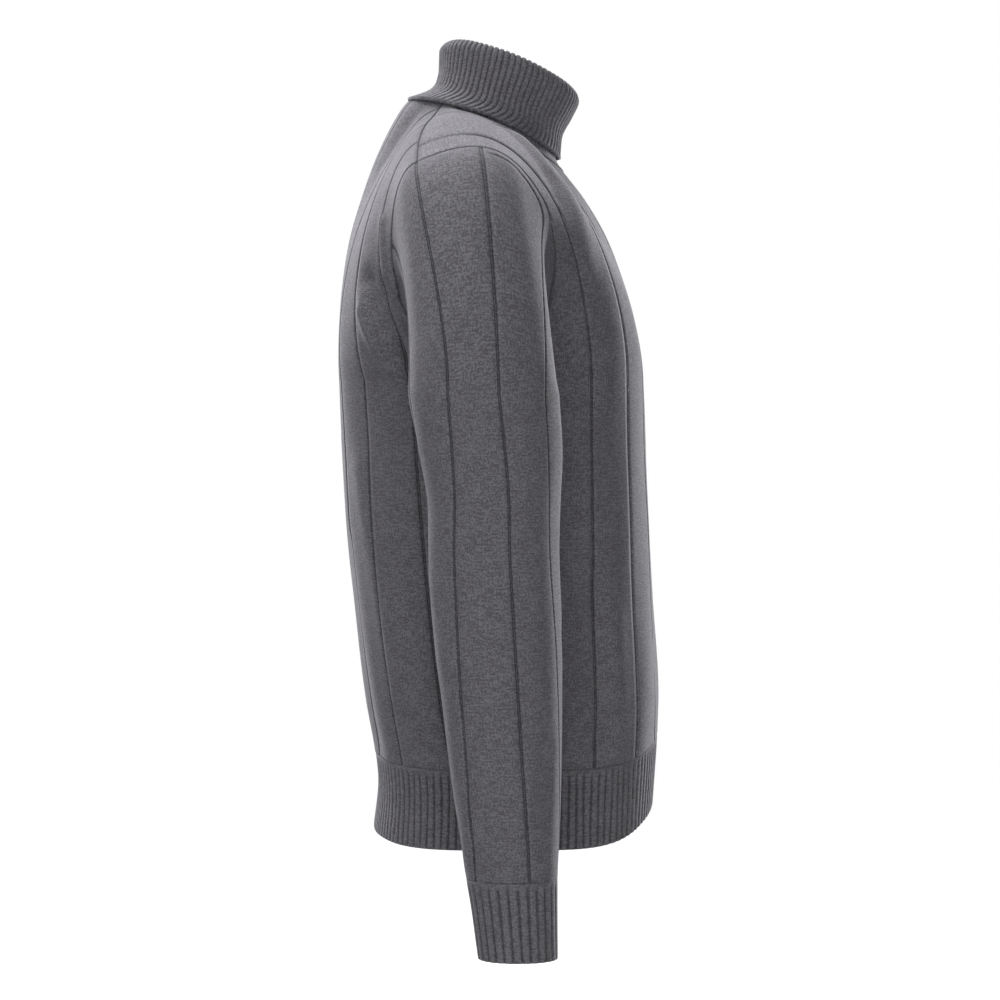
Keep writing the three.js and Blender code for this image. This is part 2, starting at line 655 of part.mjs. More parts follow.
// Hem rib of one panel. Its ribs line up with the sunk lines above, and its top edge has the corners of
// the panel's lower edge
function hemRows(panel) {
  const levels = [HEM_END, (HEM_END + HEM_RIB_TOP) / 2, HEM_RIB_TOP - HEM_RIB_START];
  const ribs = Math.round(panelEdge(panel, HEM_RIB_TOP) / HEM_RIB_SPACING);
  const rows = levels.map((level) => {
    const width = panelEdge(panel, level);
    const end = width - SEAM_GAP / 2;
    const spacing = width / ribs;
    const pointAt = (place, depth) => {
      const surface = (a, b) => panelSurface(panel, a, b);
      const { normal } = slopes(surface, place, level);
      if (panel.facing > 0) normal.negate();
      return surface(place, level).addScaledVector(normal, -depth);
    };
    const ends = (depth) => [-end, end].map((place) => ({ place, point: pointAt(place, depth) }));
    const outer = [...ribItems(-end, end, spacing, pointAt), ...ends(0)];
    const inner = ends(RIB_WALL);
    const innerStep = HEM_INNER_RIBS * spacing;
    const innerSteps = Math.ceil(end / innerStep) - 1;
    for (let i = -innerSteps; i <= innerSteps; i += 1) {
      inner.push({ place: i * innerStep, point: pointAt(i * innerStep, RIB_WALL) });
    }
    const sorted = (items) => items.sort((a, b) => a.place - b.place)
      .map(({ place, point }) => ({ place: place / width, point }));
    return { outer: sorted(outer), inner: sorted(inner) };
  });
  const seam = HEM_RIB_TOP - SEAM_GAP / 2;
  const seamRow = (isOuter) => edgeRow(panel, seam, isOuter, () => (isOuter ? 0 : RIB_WALL))
    .map(({ place, point }) => ({ place: acrossAt(panel, place, seam) / panelEdge(panel, seam), point }));
  rows.push({ outer: seamRow(true), inner: seamRow(false) });
  return rows;
}

// Half of a sleeve ring, from its outermost point over the front (or the back) to the underarm
function halfSleeveRing(level, facing) {
  const ring = sleeveRing(level);
  const points = [];
  for (let i = 0; i <= RING_STEPS; i += 1) {
    const angle = (i / RING_STEPS) * Math.PI;
    const cos = Math.cos(angle);
    const x = ring.out + ring.wide * Math.sign(cos) * Math.abs(cos) ** (2 / SLEEVE_SQUARENESS);
    const y = ring.back + facing * ring.deep * Math.sin(angle) ** (2 / SLEEVE_SQUARENESS);
    points.push(new THREE.Vector3(x, y, level));
  }
  return points;
}
const SLEEVE_HALF = lengthOf(halfSleeveRing(SLEEVE_RING, -1));

// Armhole of the wearer's left: frames along the front edge from the underarm to the shoulder seam and
// down the back edge, each with its place round the sleeve
const ARMHOLE_STEPS = 100;
function armholeLoop() {
  const frames = [];
  for (const panel of [FRONT, BACK]) {
    for (let i = 0; i <= ARMHOLE_STEPS; i += 1) {
      const v = panel === FRONT ? i / ARMHOLE_STEPS : 1 - i / ARMHOLE_STEPS;
      if (panel === BACK && i === 0) continue;
      frames.push({ ...panelEdgeFrame(panel, CHEST + v * YOKE_RISE), panel, v });
    }
  }
  const tip = shoulderFrame(1);
  frames[ARMHOLE_STEPS].normal.copy(tip.normal);
  let length = 0;
  frames.forEach((frame, i) => {
    if (i > 0) length += frame.point.distanceTo(frames[i - 1].point);
    frame.at = length;
  });
  const i = frames.findIndex((frame) => frame.point.y > CAP_TOP_BACK && frame.v > ARMHOLE_CURVE);
  const share = (CAP_TOP_BACK - frames[i - 1].point.y) / (frames[i].point.y - frames[i - 1].point.y);
  const top = lerp(frames[i - 1].at, frames[i].at, share);
  for (const frame of frames) {
    const toFront = frame.at < top;
    frame.place = (toFront ? (top - frame.at) / top : (top - frame.at) / (length - top)) * SLEEVE_HALF;
  }
  return frames.reverse();
}
const ARMHOLE = armholeLoop();

function armholeAt(place) {
  let i = 1;
  while (i < ARMHOLE.length - 1 && ARMHOLE[i].place < place) i += 1;
  const [a, b] = [ARMHOLE[i - 1], ARMHOLE[i]];
  const t = clamp((place - a.place) / (b.place - a.place), 0, 1);
  const mix = (name) => a[name].clone().lerp(b[name], t);
  return { point: mix('point'), normal: mix('normal').normalize(), away: mix('away').normalize() };
}

// Place round the sleeve at its real size: past the kept lines it is drawn together as the sleeve narrows
function aroundAt(place, level) {
  const kept = place < 0 ? SLEEVE_KEPT_BACK : SLEEVE_KEPT_FRONT;
  if (Math.abs(place) <= kept || level >= SLEEVE_RING) return place;
  const half = lengthOf(halfSleeveRing(level, -1));
  const share = (Math.abs(place) - kept) / (SLEEVE_HALF - kept);
  return Math.sign(place) * lerp(kept, half, share);
}

// Surface of the wearer's left sleeve: place is above 0 towards the front, up is the level or, above
// the first ring, the height up the cap
function sleeveSurface(place, up) {
  const level = Math.min(up, SLEEVE_RING);
  const around = aroundAt(place, level);
  const ringPoint = pointAlong(halfSleeveRing(level, around < 0 ? 1 : -1), Math.abs(around));
  if (up <= SLEEVE_RING) return ringPoint;
  const w = 1 - (up - SLEEVE_RING) / CAP_RISE;
  const start = armholeAt(place);
  const pull = capPull(Math.min(Math.abs(place) / SLEEVE_HALF, 1));
  const axis = (name) => ease(
    start.point[name],
    ringPoint[name],
    start.away[name] * pull.leave,
    name === 'z' ? -pull.arrive : 0,
    w,
  );
  return new THREE.Vector3(axis('x'), axis('y'), axis('z'));
}

function sleeveFrame(place, up) {
  const wrapped = (a) => euclideanModulo(a + SLEEVE_HALF, 2 * SLEEVE_HALF) - SLEEVE_HALF;
  const surface = (a, b) => sleeveSurface(wrapped(a), b);
  const frame = slopes(surface, place, up);
  frame.normal.negate();
  frame.point = surface(place, up);
  return frame;
}

// Rows of the sleeve below its first ring, and rows of the cap as shares of its height
const SLEEVE_ROWS = [-640, -600, -555, -510, -465, -420, -375, -330, -290, SLEEVE_RING];
const CAP_ROWS = [0.07, 0.17, 0.3, 0.46, 0.62, 0.78, 0.9];

// Places round the sleeve, from the underarm over the back and the front to the underarm
function sleevePlaces(isOuter) {
  const places = [-SLEEVE_HALF, ...UNDERARM_PLACES];
  for (const line of SLEEVE_LINES) {
    const at = SLEEVE_LINE_START + line * LINE_SPACING;
    places.push(at - LINE_SPACING / 2);
    places.push(...(isOuter ? [at - LINE_WIDTH / 2, at, at + LINE_WIDTH / 2] : [at]));
  }
  return places.sort((a, b) => a - b);
}

const onSleeveLine = (place) => SLEEVE_LINES.some(
  (line) => Math.abs(place - SLEEVE_LINE_START - line * LINE_SPACING) < LINE_WIDTH / 4,
);

function sleeveRows(side) {
  const half = SEAM_GAP / 2;
  const ups = [CUFF_TOP + half, ...SLEEVE_ROWS, ...CAP_ROWS.map((w) => SLEEVE_RING + CAP_RISE * w)];
  const rows = ups.map((up) => {
    const list = (isOuter) => sleevePlaces(isOuter).map((place) => {
      const frame = sleeveFrame(place, up);
      const depth = isOuter ? LINE_DEPTH * onSleeveLine(place) : KNIT_WALL;
      const point = frame.point.addScaledVector(frame.normal, -depth);
      return { place, point: mirrored(point, side) };
    });
    return { outer: list(true), inner: list(false) };
  });
  const shared = ARMHOLE.filter(({ v }) => v === 0 || v === 1
    || YOKE_ROWS.some((row) => Math.abs(row - v) < 0.5 / ARMHOLE_STEPS));
  const top = (depth) => shared.slice(1).map(({ place, point, normal, away }) => {
    const moved = point.clone().addScaledVector(away, half).addScaledVector(normal, -depth);
    return { place, point: mirrored(moved, side) };
  });
  rows.push({ outer: top(0), inner: top(KNIT_WALL) });
  return rows;
}

// Cuff: places run from -1 at the underarm over the back and the front to 1
function cuffRows(side) {
  const levels = [CUFF_END, (CUFF_END + CUFF_TOP) / 2, CUFF_TOP - SEAM_GAP / 2];
  return levels.map((level) => {
    const length = lengthOf(halfSleeveRing(level, -1));
    const pointAt = (turn, depth) => {
      const surface = (a, b) => {
        const around = euclideanModulo(a + 1, 2) - 1;
        const half = halfSleeveRing(b, around < 0 ? 1 : -1);
        return pointAlong(half, Math.abs(around) * lengthOf(half));
      };
      const across = STEP / length;
      const alongA = surface(turn + across, level).sub(surface(turn - across, level));
      const alongB = surface(turn, level + STEP).sub(surface(turn, level - STEP));
      const normal = alongB.cross(alongA).normalize();
      return mirrored(surface(turn, level).addScaledVector(normal, -depth), side);
    };
    const spacing = 2 / CUFF_RIBS;
    const outer = ribItems(-1 - spacing / 4, 1 - spacing / 4, spacing, pointAt);
    const inner = [];
    for (let i = 0; i < CUFF_RIBS; i += 1) {
      const place = -1 + i * spacing;
      inner.push({ place, point: pointAt(place, RIB_WALL) });
    }
    return { outer, inner };
  });
}

// Collar: the outer rows run on the visible side, inside the stand and outside the fold
function collarRows() {
  const neck = [];
  for (const side of [1, -1]) {
    const turns = [
      ...FRONT_TURNS.map((turn) => [FRONT, turn]),
      [FRONT, NECK_POINT_TURN],
      ...BACK_TURNS.toReversed().map((turn) => [BACK, turn]),
    ];
    for (const [panel, turn] of turns) {
      if (side < 0 && (turn === 0 || turn === 180)) continue;
      const frame = neckFrame(panel, turn);
      const [point, normal, up] = [frame.point, frame.normal, frame.up].map((v) => mirrored(v, side));
      neck.push({ place: side * turn, point, normal, up });
    }
  }
  neck.sort((a, b) => a.place - b.place);
  const seamRow = (rise, depth) => neck.map(({ place, point, normal, up }) => (
    { place, point: point.clone().addScaledVector(up, rise).addScaledVector(normal, -depth) }));
  const rows = [
    { outer: seamRow(SEAM_GAP / 2, KNIT_WALL), inner: seamRow(SEAM_GAP / 2, 0) },
    { outer: seamRow(COLLAR_FOOT, KNIT_WALL), inner: seamRow(COLLAR_FOOT, 0) },
  ];
  const surface = (turn, step) => tiltedRing(collarRing(step), turn);
  const turnStep = 360 / COLLAR_RIBS / 2;
  for (const step of COLLAR_STEPS) {
    const pointAt = (turn, depth) => {
      const alongA = surface(turn + TURN_STEP, step).sub(surface(turn - TURN_STEP, step));
      const before = Math.max(step - TABLE_STEP, COLLAR_STEPS[0]);
      const after = Math.min(step + TABLE_STEP, COLLAR_STEPS.at(-1));
      const alongB = surface(turn, after).sub(surface(turn, before));
      const normal = alongB.cross(alongA).normalize();
      return surface(turn, step).addScaledVector(normal, -depth);
    };
    const outer = [];
    for (let i = 0; i < 2 * COLLAR_RIBS; i += 1) {
      const place = -180 + (i + 1) * turnStep;
      outer.push({ place, point: pointAt(place, i % 2 ? RIB_DEPTH : 0) });
    }
    const inner = [];
    for (let place = COLLAR_INNER_TURN - 180; place <= 180; place += COLLAR_INNER_TURN) {
      inner.push({ place, point: pointAt(place, RIB_WALL) });
    }
    rows.push({ outer, inner });
  }
  return rows;
}

addPiece('front_panel', buildWall(panelRows(FRONT), 0), GREY.body);
addPiece('back_panel', buildWall(panelRows(BACK), 0), GREY.body);
addPiece('front_hem_rib', buildWall(hemRows(FRONT), 0), GREY.rib);
addPiece('back_hem_rib', buildWall(hemRows(BACK), 0), GREY.rib);
for (const [name, side] of [['right', -1], ['left', 1]]) {
  addPiece(`${name}_sleeve`, buildWall(sleeveRows(side), 2 * SLEEVE_HALF), GREY.body);
  addPiece(`${name}_cuff`, buildWall(cuffRows(side), 2), GREY.rib);
}
addPiece('turtleneck_collar', buildWall(collarRows(), 360), GREY.rib);

export default group;
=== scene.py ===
import math

import bpy
import numpy as np
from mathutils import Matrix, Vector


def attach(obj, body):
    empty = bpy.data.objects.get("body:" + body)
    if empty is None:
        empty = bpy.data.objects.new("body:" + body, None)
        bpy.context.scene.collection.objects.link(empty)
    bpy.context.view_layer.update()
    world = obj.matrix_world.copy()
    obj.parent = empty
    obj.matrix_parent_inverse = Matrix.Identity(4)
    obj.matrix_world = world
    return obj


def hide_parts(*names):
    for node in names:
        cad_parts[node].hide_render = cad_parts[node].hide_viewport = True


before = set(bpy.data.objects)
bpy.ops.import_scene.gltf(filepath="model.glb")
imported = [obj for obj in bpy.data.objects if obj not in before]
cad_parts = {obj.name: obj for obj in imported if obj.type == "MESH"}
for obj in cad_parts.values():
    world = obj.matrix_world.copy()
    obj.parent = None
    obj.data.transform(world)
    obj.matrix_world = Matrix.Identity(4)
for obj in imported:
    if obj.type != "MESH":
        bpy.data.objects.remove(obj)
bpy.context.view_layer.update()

# Turtleneck sweater of fine grey melange knit. Tables are in millimetres, as in the part's source: +Z up,
# the front towards -Y, the wearer's left towards +X. Meshes are made in metres.
MM = 0.001

KNIT_WALL = 2.2
RIB_WALL = 3.0
SEAM_GAP = 0.3
LINE_SPACING = 49.0
LINE_WIDTH = 3.2
LINE_DEPTH = 1.2
RIB_DEPTH = 1.4
HEM_RIB_SPACING = 7.0
CUFF_RIBS = 28
COLLAR_RIBS = 74
CHEST = -250.0
HEM_RIB_TOP = -589.0
HEM_END = -658.5
SLEEVE_RING = -268.0
CUFF_TOP = -672.0
CUFF_END = -739.0
YOKE_RISE = 280.0
CAP_RISE = 190.0
BODY_SQUARENESS = 2.85
SLEEVE_SQUARENESS = 2.15
RING_STEPS = 480
ARMHOLE_STEPS = 200
ARMHOLE_CURVE = 0.45
LIFT_POWER = 6
NECK_POINT_TURN = 140.0
MID_PULL = 0.58
FOLD_FADE = 22.0
CAP_TOP_BACK = 33.0
SLEEVE_LINE_START = 15.0
SLEEVE_KEPT_BACK = 85.0
SLEEVE_KEPT_FRONT = 115.0
KEPT_ACROSS = 3.5 * LINE_SPACING + 1.5
FRONT_LINE_DRIFT = 14.0
BACK_LINE_DRIFT = -8.0
# Share by which the back's lines stand further apart below the yoke
BACK_LINE_SPREAD = 0.1
COLLAR_FOOT = 5.0
COLLAR_RIB_WIDTH = 5.8
# How far the free edge of the collar settles on the back
COLLAR_SAG = 5.0
# Fineness of the meshes: distance between corners on plain knit, along ribs, and corners across one rib
GRID = 3.6
RIB_ROW = 4.5
RIB_STEPS = 8
# Height and random seed of the cloth's slow unevenness: panels, hem, sleeves, collar
PANEL_SOFT, PANEL_SEED = 0.7, 7
HEM_SOFT, HEM_SEED = 0.35, 11
SLEEVE_SOFT, SLEEVE_SEED = 0.7, 23
COLLAR_SOFT, COLLAR_SEED = 0.5, 31
# How far a seam between plain knit and rib sinks and is darkened with painted shade, beside a linked seam
RIB_SEAM = 0.15
HALF_GAP = SEAM_GAP / 2


def columns(names, rows):
    """A table with named columns; the first is its key."""
    return dict(zip(names.split(), np.array(rows, float).T))


BODY_RINGS = columns("level wide front back lift_front lift_back", [
    (-658.5, 156, 139.5, 115.2, 31, 8),
    (-620, 157, 142, 111.2, 27, 8),
    (-589, 159, 143.5, 113.6, 23, 8),
    (-540, 163, 144.2, 121.8, 16, 6),
    (-450, 166, 139.4, 132.8, 6, 3),
    (-355, 168, 135, 141.5, 1, 1),
    (-250, 172, 130.6, 146.3, 0, 0),
])
SLEEVE_RINGS = columns("level out back wide deep", [
    (-739, 230, -15, 33, 33.6),
    (-697, 231, -12, 35.5, 36.3),
    (-672, 231.5, -10, 37, 38.4),
    (-645, 232, -8.8, 40.5, 40.5),
    (-605, 233.5, -5.8, 44, 44.3),
    (-564, 235, -2.9, 46.5, 47.2),
    (-520, 236, -0.4, 49, 49.7),
    (-480, 237.5, 2.1, 51, 52.2),
    (-400, 240, 6.3, 53, 53.9),
    (-355, 242, 6.7, 56, 55.1),
    (-313, 243.5, 9.6, 58.5, 59.7),
    (-268, 244, 13.8, 60, 62.2),
])
CAP_PULLS = columns("round leave arrive", [
    (0, 150, 180), (0.25, 140, 165), (0.5, 75, 110), (0.75, 42, 55), (1, 24, 26),
])
COLLAR_RINGS = columns("step back up wide deep lean arch", [
    (0, 2.5, -8.5, 63, 59.8, 34, 1),
    (1, -2, 17, 57, 55, 27, 4),
    (2, -9, 37.5, 57, 59, 21.3, 5),
    (3, -10, 42.5, 62, 63.2, 20.9, 5),
    (4, -8.75, 35.5, 66, 68.3, 21, 5),
    (5, -5.2, 23.5, 66, 66.7, 23.4, 4.5),
    (6, -0.5, 8.5, 66.5, 63.7, 25.5, 4),
    (7, 3.5, -4.4, 70, 66.5, 26.5, 3.5),
    (8, 14.5, -11, 79, 76.6, 23, 3.5),
])
NECK = dict(back=2, up=-17, wide=74, deep=70.5, lean=31.7, arch=-3.5)
SHOULDER = columns("out back up", [(78, 59, -11), (112, 66.5, -25), (152, 70.5, -43), (203, 71, -68)])

# Where the knit arrives at the neck seam and the shoulder seam, and the place it passes half-way
FRONT_YOKE = columns("across turn share x y z", [
    (0, 0, 0, 0, -106, -133),
    (22, 18, 0, 23.5, -104.5, -132),
    (41, 38, 0, 44, -100, -128),
    (54, 56, 0, 58, -94.5, -122.5),
    (63.5, 73, 0, 68.5, -89, -116),
    (71, 90, 0, 76, -84, -110),
    (76.5, 107, 0, 81, -80.5, -106),
    (81, 123, 0, 85, -78, -103),
    (86, 140, 0, 89, -75, -100),
    (110, 140, 0.24, 108, -65, -88),
    (150, 140, 0.56, 138, -52, -80),
    (205, 140, 1, 191, -34, -93),
])
BACK_YOKE = columns("across turn share x y z", [
    (0, 180, 0, 0, 133, -95),
    (30, 156, 0, 31, 131, -97),
    (48, 140, 0, 50, 127.5, -100),
    (110, 140, 0.395, 106, 120, -113),
    (150, 140, 0.65, 143, 111, -121),
    (190, 140, 1, 184, 93, -133),
])
FRONT_PULLS = columns("across in0 back0 up0 in1 back1 up1", [
    (0, 0, 0, 130, 0, 48, 55),
    (22, 0, 0, 130, 8, 46, 52),
    (41, 0, 0, 132, 19, 42, 46),
    (54, 0, 0, 136, 33, 36, 40),
    (63.5, 0, 0, 140, 50, 33, 38),
    (71, 0, 0, 145, 60, 30, 40),
    (76.5, 0, 0, 150, 85, 32, 50),
    (81, 0, 0, 158, 110, 36, 66),
    (86, 0, 0, 165, 135, 40, 80),
    (110, 0, 0, 168, 30, 100, -40),
    (150, 10, 0, 175, 20, 135, -75),
    (205, 30, 0, 190, 52, 175, -75),
])
BACK_PULLS = columns("across in0 back0 up0 in1 back1 up1", [
    (0, 0, 7, 110, 0, -110, 30),
    (30, 0, 8, 115, 5, -102, 40),
    (48, 0, 10, 120, 5, -75, 35),
    (110, 0, 20, 120, -5, -65, 30),
    (150, -5, 32, 120, -10, -55, 25),
    (190, -20, 30, 125, -13, -44, 19),
])

# Levels between which the sleeve's places drift, and the distance of the line that runs beside the
# front of the armhole seam
SLEEVE_DRIFT_SPAN = (-480.0, -150.0)
CAP_LINE = 11.0
CAP_LINE_TURN = 14.0
# Rows of the sleeve's cap: from the first whole ring (1) to the armhole seam (0), with counts of rows
CAP_ROWS = ((1, 0.4, 31), (0.4, 0.14, 33), (0.14, 0, 18))

# Folds: a ridge (or a trough, below 0) from one place to another, across from the middle and up the knit,
# with its half width and height. Those of the part's source come first, then finer ones
FOLD_COLUMNS = "across0 up0 across1 up1 wide high"
FRONT_FOLDS = columns(FOLD_COLUMNS, [
    (-176, -430, -170, -560, 16, -4),
    (176, -400, 168, -545, 17, -4),
    (-118, -60, -165, -170, 16, 3),
    (118, -60, 165, -170, 16, 3),
])
BACK_FOLDS = columns(FOLD_COLUMNS, [
    (-150, -170, -208, -330, 13, 4.5),
    (-182, -165, -228, -262, 11, -5),
    (152, -150, 206, -315, 13, 4.5),
    (184, -160, 230, -255, 11, -5),
])
FRONT_SOFT = columns(FOLD_COLUMNS, [
    (-95, -15, -150, -95, 9, 1.6),
    (-120, -25, -176, -120, 8, -1.4),
    (98, -18, 150, -100, 9, 1.5),
    (124, -30, 178, -118, 8, -1.3),
    (-150, -460, -146, -575, 11, 1.8),
    (150, -440, 144, -570, 11, 1.7),
    (-60, -500, -50, -580, 16, -1.6),
    (40, -470, 52, -575, 15, -1.7),
    (-30, -60, -70, -150, 18, -1.2),
    (32, -60, 74, -150, 18, -1.2),
])
BACK_SOFT = columns(FOLD_COLUMNS, [
    (-168, -95, -196, -215, 6, 2.2),
    (170, -90, 198, -210, 6, 2.1),
    (-196, -150, -222, -235, 6, 2.4),
    (198, -145, 224, -230, 6, 2.2),
    (-172, -230, -206, -345, 8, -2.2),
    (174, -225, 206, -335, 8, -2.1),
    (-118, -330, -150, -520, 15, 2.2),
    (112, -320, 146, -500, 15, 2.1),
    (-70, -400, -84, -570, 17, -1.9),
    (62, -420, 78, -575, 17, -1.8),
    (-10, -300, 6, -480, 22, 1.5),
    (-153, -158, -189, -228, 10, -7.0),
    (151, -150, 185, -218, 10, -6.0),
    (-144, -186, -178, -250, 8, 3.4),
    (142, -180, 174, -240, 8, 3.0),
    (-45, 12, 45, 12, 34, 5.0),
])
# How far a place round the sleeve moves towards the front by the top of the cap
SLEEVE_DRIFT = columns("place drift", [(-83, 0), (-34, 6), (15, -3), (64, 0), (115, 0)])
# How far the front line of the sleeve stands towards the front of its place
FRONT_LINE_SHIFT = columns("level shift", [
    (-672, 0), (-500, -1), (-400, -5), (-296, -6), (-209, 1), (-130, 10), (-78, 12),
])
# Folds of the sleeves, by place round the sleeve (towards the front above 0) and level
SLEEVE_FOLDS = columns(FOLD_COLUMNS, [
    (88, -268, 84, -640, 12, 2.0),
    (-96, -300, -88, -430, 10, -2.6),
    (-70, -420, -40, -520, 16, 1.2),
    (30, -545, -2, -668, 10, 1.1),
    (46, -560, 20, -668, 9, -1.3),
    (-118, -280, -128, -420, 12, 2.4),
    (120, -280, 132, -440, 12, 2.2),
    (-30, -600, -58, -668, 9, 1.0),
    (96, -470, 118, -560, 12, -1.8),
])


def read(table, name, at, smooth=True):
    """A column of a table at any value of its key: smooth through the rows, or straight between them."""
    key = next(iter(table.values()))
    value = table[name]
    at = np.asarray(at, float)
    last = len(key) - 1
    i = np.clip(np.searchsorted(key, at, side="right") - 1, 0, last - 1)
    span = key[i + 1] - key[i]
    t = np.clip((at - key[i]) / span, 0, 1)
    if not smooth:
        return value[i] + (value[i + 1] - value[i]) * t
    below, above = np.maximum(np.arange(last + 1) - 1, 0), np.minimum(np.arange(last + 1) + 1, last)
    slope = (value[above] - value[below]) / (key[above] - key[below])
    return ease(value[i], value[i + 1], slope[i] * span, slope[i + 1] * span, t)


def ease(start, end, slope0, slope1, t):
    """Cubic between two values with given slopes."""
    t2, t3 = t * t, t * t * t
    from_start = (2 * t3 - 3 * t2 + 1) * start + (t3 - 2 * t2 + t) * slope0
    return from_start + (3 * t2 - 2 * t3) * end + (t3 - t2) * slope1


def smooth_step(low, high, x):
    t = np.clip((x - low) / (high - low), 0, 1)
    return t * t * (3 - 2 * t)


def where_is(table, name, value, name_key="across"):
    """The key at which a rising or falling column has the given value."""
    key, column = table[name_key], table[name]
    for i in range(len(key) - 1):
        a, b = column[i], column[i + 1]
        if a != b and (value - a) * (value - b) <= 0:
            return key[i] + (key[i + 1] - key[i]) * (value - a) / (b - a)
    return key[-1]


def unit(v):
    return v / np.maximum(np.linalg.norm(v, axis=-1, keepdims=True), 1e-12)


def lengths(points):
    return np.concatenate([[0], np.cumsum(np.linalg.norm(np.diff(points, axis=0), axis=1))])


def along(points, distance):
    """Points at distances along a row of points."""
    at = lengths(points)
    return np.stack([np.interp(distance, at, points[:, k]) for k in range(3)], axis=-1)


def fold_height(folds, across, up):
    height = 0.0
    for a0, u0, a1, u1, wide, high in zip(*folds.values()):
        size = (a1 - a0) ** 2 + (u1 - u0) ** 2
        t = np.clip(((across - a0) * (a1 - a0) + (up - u0) * (u1 - u0)) / size, 0, 1)
        away = np.hypot(across - a0 - t * (a1 - a0), up - u0 - t * (u1 - u0)) / wide
        height = height + high * np.exp(-away * away)
    return height


def softness(a, b, seed):
    """Slow unevenness of hanging knit, within about 1 either way."""
    rng = np.random.default_rng(seed)
    total = 0.0
    for wave in (160, 110, 75, 52):
        angle, shift = rng.uniform(-0.5, 0.5), rng.uniform(0, 6.28)
        slant = a * math.cos(angle) + 0.45 * b * math.sin(angle)
        total = total + np.sin(slant * 6.283 / wave + shift) * 0.35
        total = total + np.sin((0.35 * a + b) * 6.283 / (2.3 * wave) + 2 * shift) * 0.2
    return total


def tilted_ring(turn, back, up, wide, deep, lean, arch):
    angle, lean = np.radians(turn), np.radians(lean)
    run = -deep * np.cos(angle)
    return np.stack([wide * np.sin(angle), back + run * np.cos(lean),
                     up + run * np.sin(lean) + arch * np.sin(angle) ** 2], axis=-1)


def shoulder_points():
    head = tilted_ring(NECK_POINT_TURN, **NECK)
    return np.vstack([head, np.stack([SHOULDER["out"], SHOULDER["back"], SHOULDER["up"]], axis=-1)])


def shoulder_seam(share):
    """Centripetal curve through the shoulder's points, at a share of its spans."""
    points = shoulder_points()
    points = np.vstack([2 * points[0] - points[1], points, 2 * points[-1] - points[-2]])
    spans = len(points) - 3
    place = np.clip(np.asarray(share, float), 0, 1) * spans
    i = np.minimum(place.astype(int), spans - 1)
    w = (place - i)[..., None]
    p0, p1, p2, p3 = (points[i + k] for k in range(4))
    gaps = np.linalg.norm(np.diff(points, axis=0), axis=1) ** 0.5
    g0, g1, g2 = (gaps[i + k][..., None] for k in range(3))
    slope1 = ((p1 - p0) / g0 - (p2 - p0) / (g0 + g1) + (p2 - p1) / g1) * g1
    slope2 = ((p2 - p1) / g1 - (p3 - p1) / (g1 + g2) + (p3 - p2) / g2) * g1
    return ease(p1, p2, slope1, slope2, w)


def half_ring(facing, level):
    """Half of a body ring, from the middle of the front or the back to the wearer's left side."""
    ring = {name: read(BODY_RINGS, name, level) for name in BODY_RINGS if name != "level"}
    depth, lift = (ring["back"], ring["lift_back"]) if facing > 0 else (-ring["front"], ring["lift_front"])
    angle = np.linspace(0, math.pi / 2, RING_STEPS + 1)
    power = 2 / BODY_SQUARENESS
    x = ring["wide"] * np.sin(angle) ** power
    y = depth * np.clip(np.cos(angle), 0, 1) ** power
    return np.stack([x, y, level + lift * (y / depth) ** LIFT_POWER], axis=-1)


class Panel:
    """Front or back of the body: half a tube up to the chest, then a yoke up to neck and shoulder seam."""

    def __init__(self, facing, drift, spread, yoke, pulls, folds, soft):
        self.facing, self.drift, self.spread = facing, drift, spread
        self.yoke, self.pulls = yoke, pulls
        self.folds, self.soft = folds, soft
        self.chest = half_ring(facing, CHEST)
        self.half = lengths(self.chest)[-1]
        self.narrow = yoke["across"][-1]
        self.neck_corner = where_is(yoke, "turn", NECK_POINT_TURN)

    def edge(self, up):
        """Distance across from the middle to the side seam, or to the armhole above the chest."""
        if up < CHEST:
            return lengths(half_ring(self.facing, up))[-1]
        left = 1 - min((up - CHEST) / YOKE_RISE / ARMHOLE_CURVE, 1)
        return self.half - (self.half - self.narrow) * math.sqrt(1 - left * left)

    def top(self, across):
        turn = read(self.yoke, "turn", across, smooth=False)
        share = read(self.yoke, "share", across, smooth=False)
        neck = tilted_ring(turn, **NECK)
        return np.where((across < self.neck_corner)[..., None], neck, shoulder_seam(share))

    def surface(self, across, up):
        """Points of one row, for distances across at one place up the knit."""
        out = np.abs(across)
        if up <= CHEST:
            points = along(half_ring(self.facing, up), out)
        else:
            v = 2 * (up - CHEST) / YOKE_RISE
            low, top = along(self.chest, out), self.top(out)
            pull = [read(self.pulls, n, out) for n in ("in0", "back0", "up0", "in1", "back1", "up1")]
            leave = np.stack([-pull[0], pull[1], pull[2]], axis=-1)
            arrive = np.stack([-pull[3], pull[4], pull[5]], axis=-1)
            middle = np.stack([read(self.yoke, n, out) for n in "xyz"], axis=-1)
            through = MID_PULL * (top - low)
            if v < 1:
                points = ease(low, middle, leave, through, v)
            else:
                points = ease(middle, top, through, arrive, v - 1)
        points = points.copy()
        points[..., 0] *= np.where(across < 0, -1, 1)
        return points

    def across_at(self, place, up):
        """Places are counted on the chest line: past the last kept one they are drawn together as the panel
        narrows, and over the yoke that one drifts towards the armhole or away from it."""
        out = np.abs(place)
        rise = (up - CHEST) / YOKE_RISE
        drift = self.drift * smooth_step(0, ARMHOLE_CURVE, rise)
        spread = 1 + self.spread * (1 - np.clip(rise, 0, 1)) ** 2
        kept = out * spread + drift * np.clip(1 - (KEPT_ACROSS - out) / LINE_SPACING, 0, 1)
        share = (out - KEPT_ACROSS) / (self.half - KEPT_ACROSS)
        kept_end = KEPT_ACROSS * spread + drift
        drawn = kept_end + (self.edge(up) - kept_end) * share
        return np.sign(place) * np.where(out <= KEPT_ACROSS, kept, drawn)


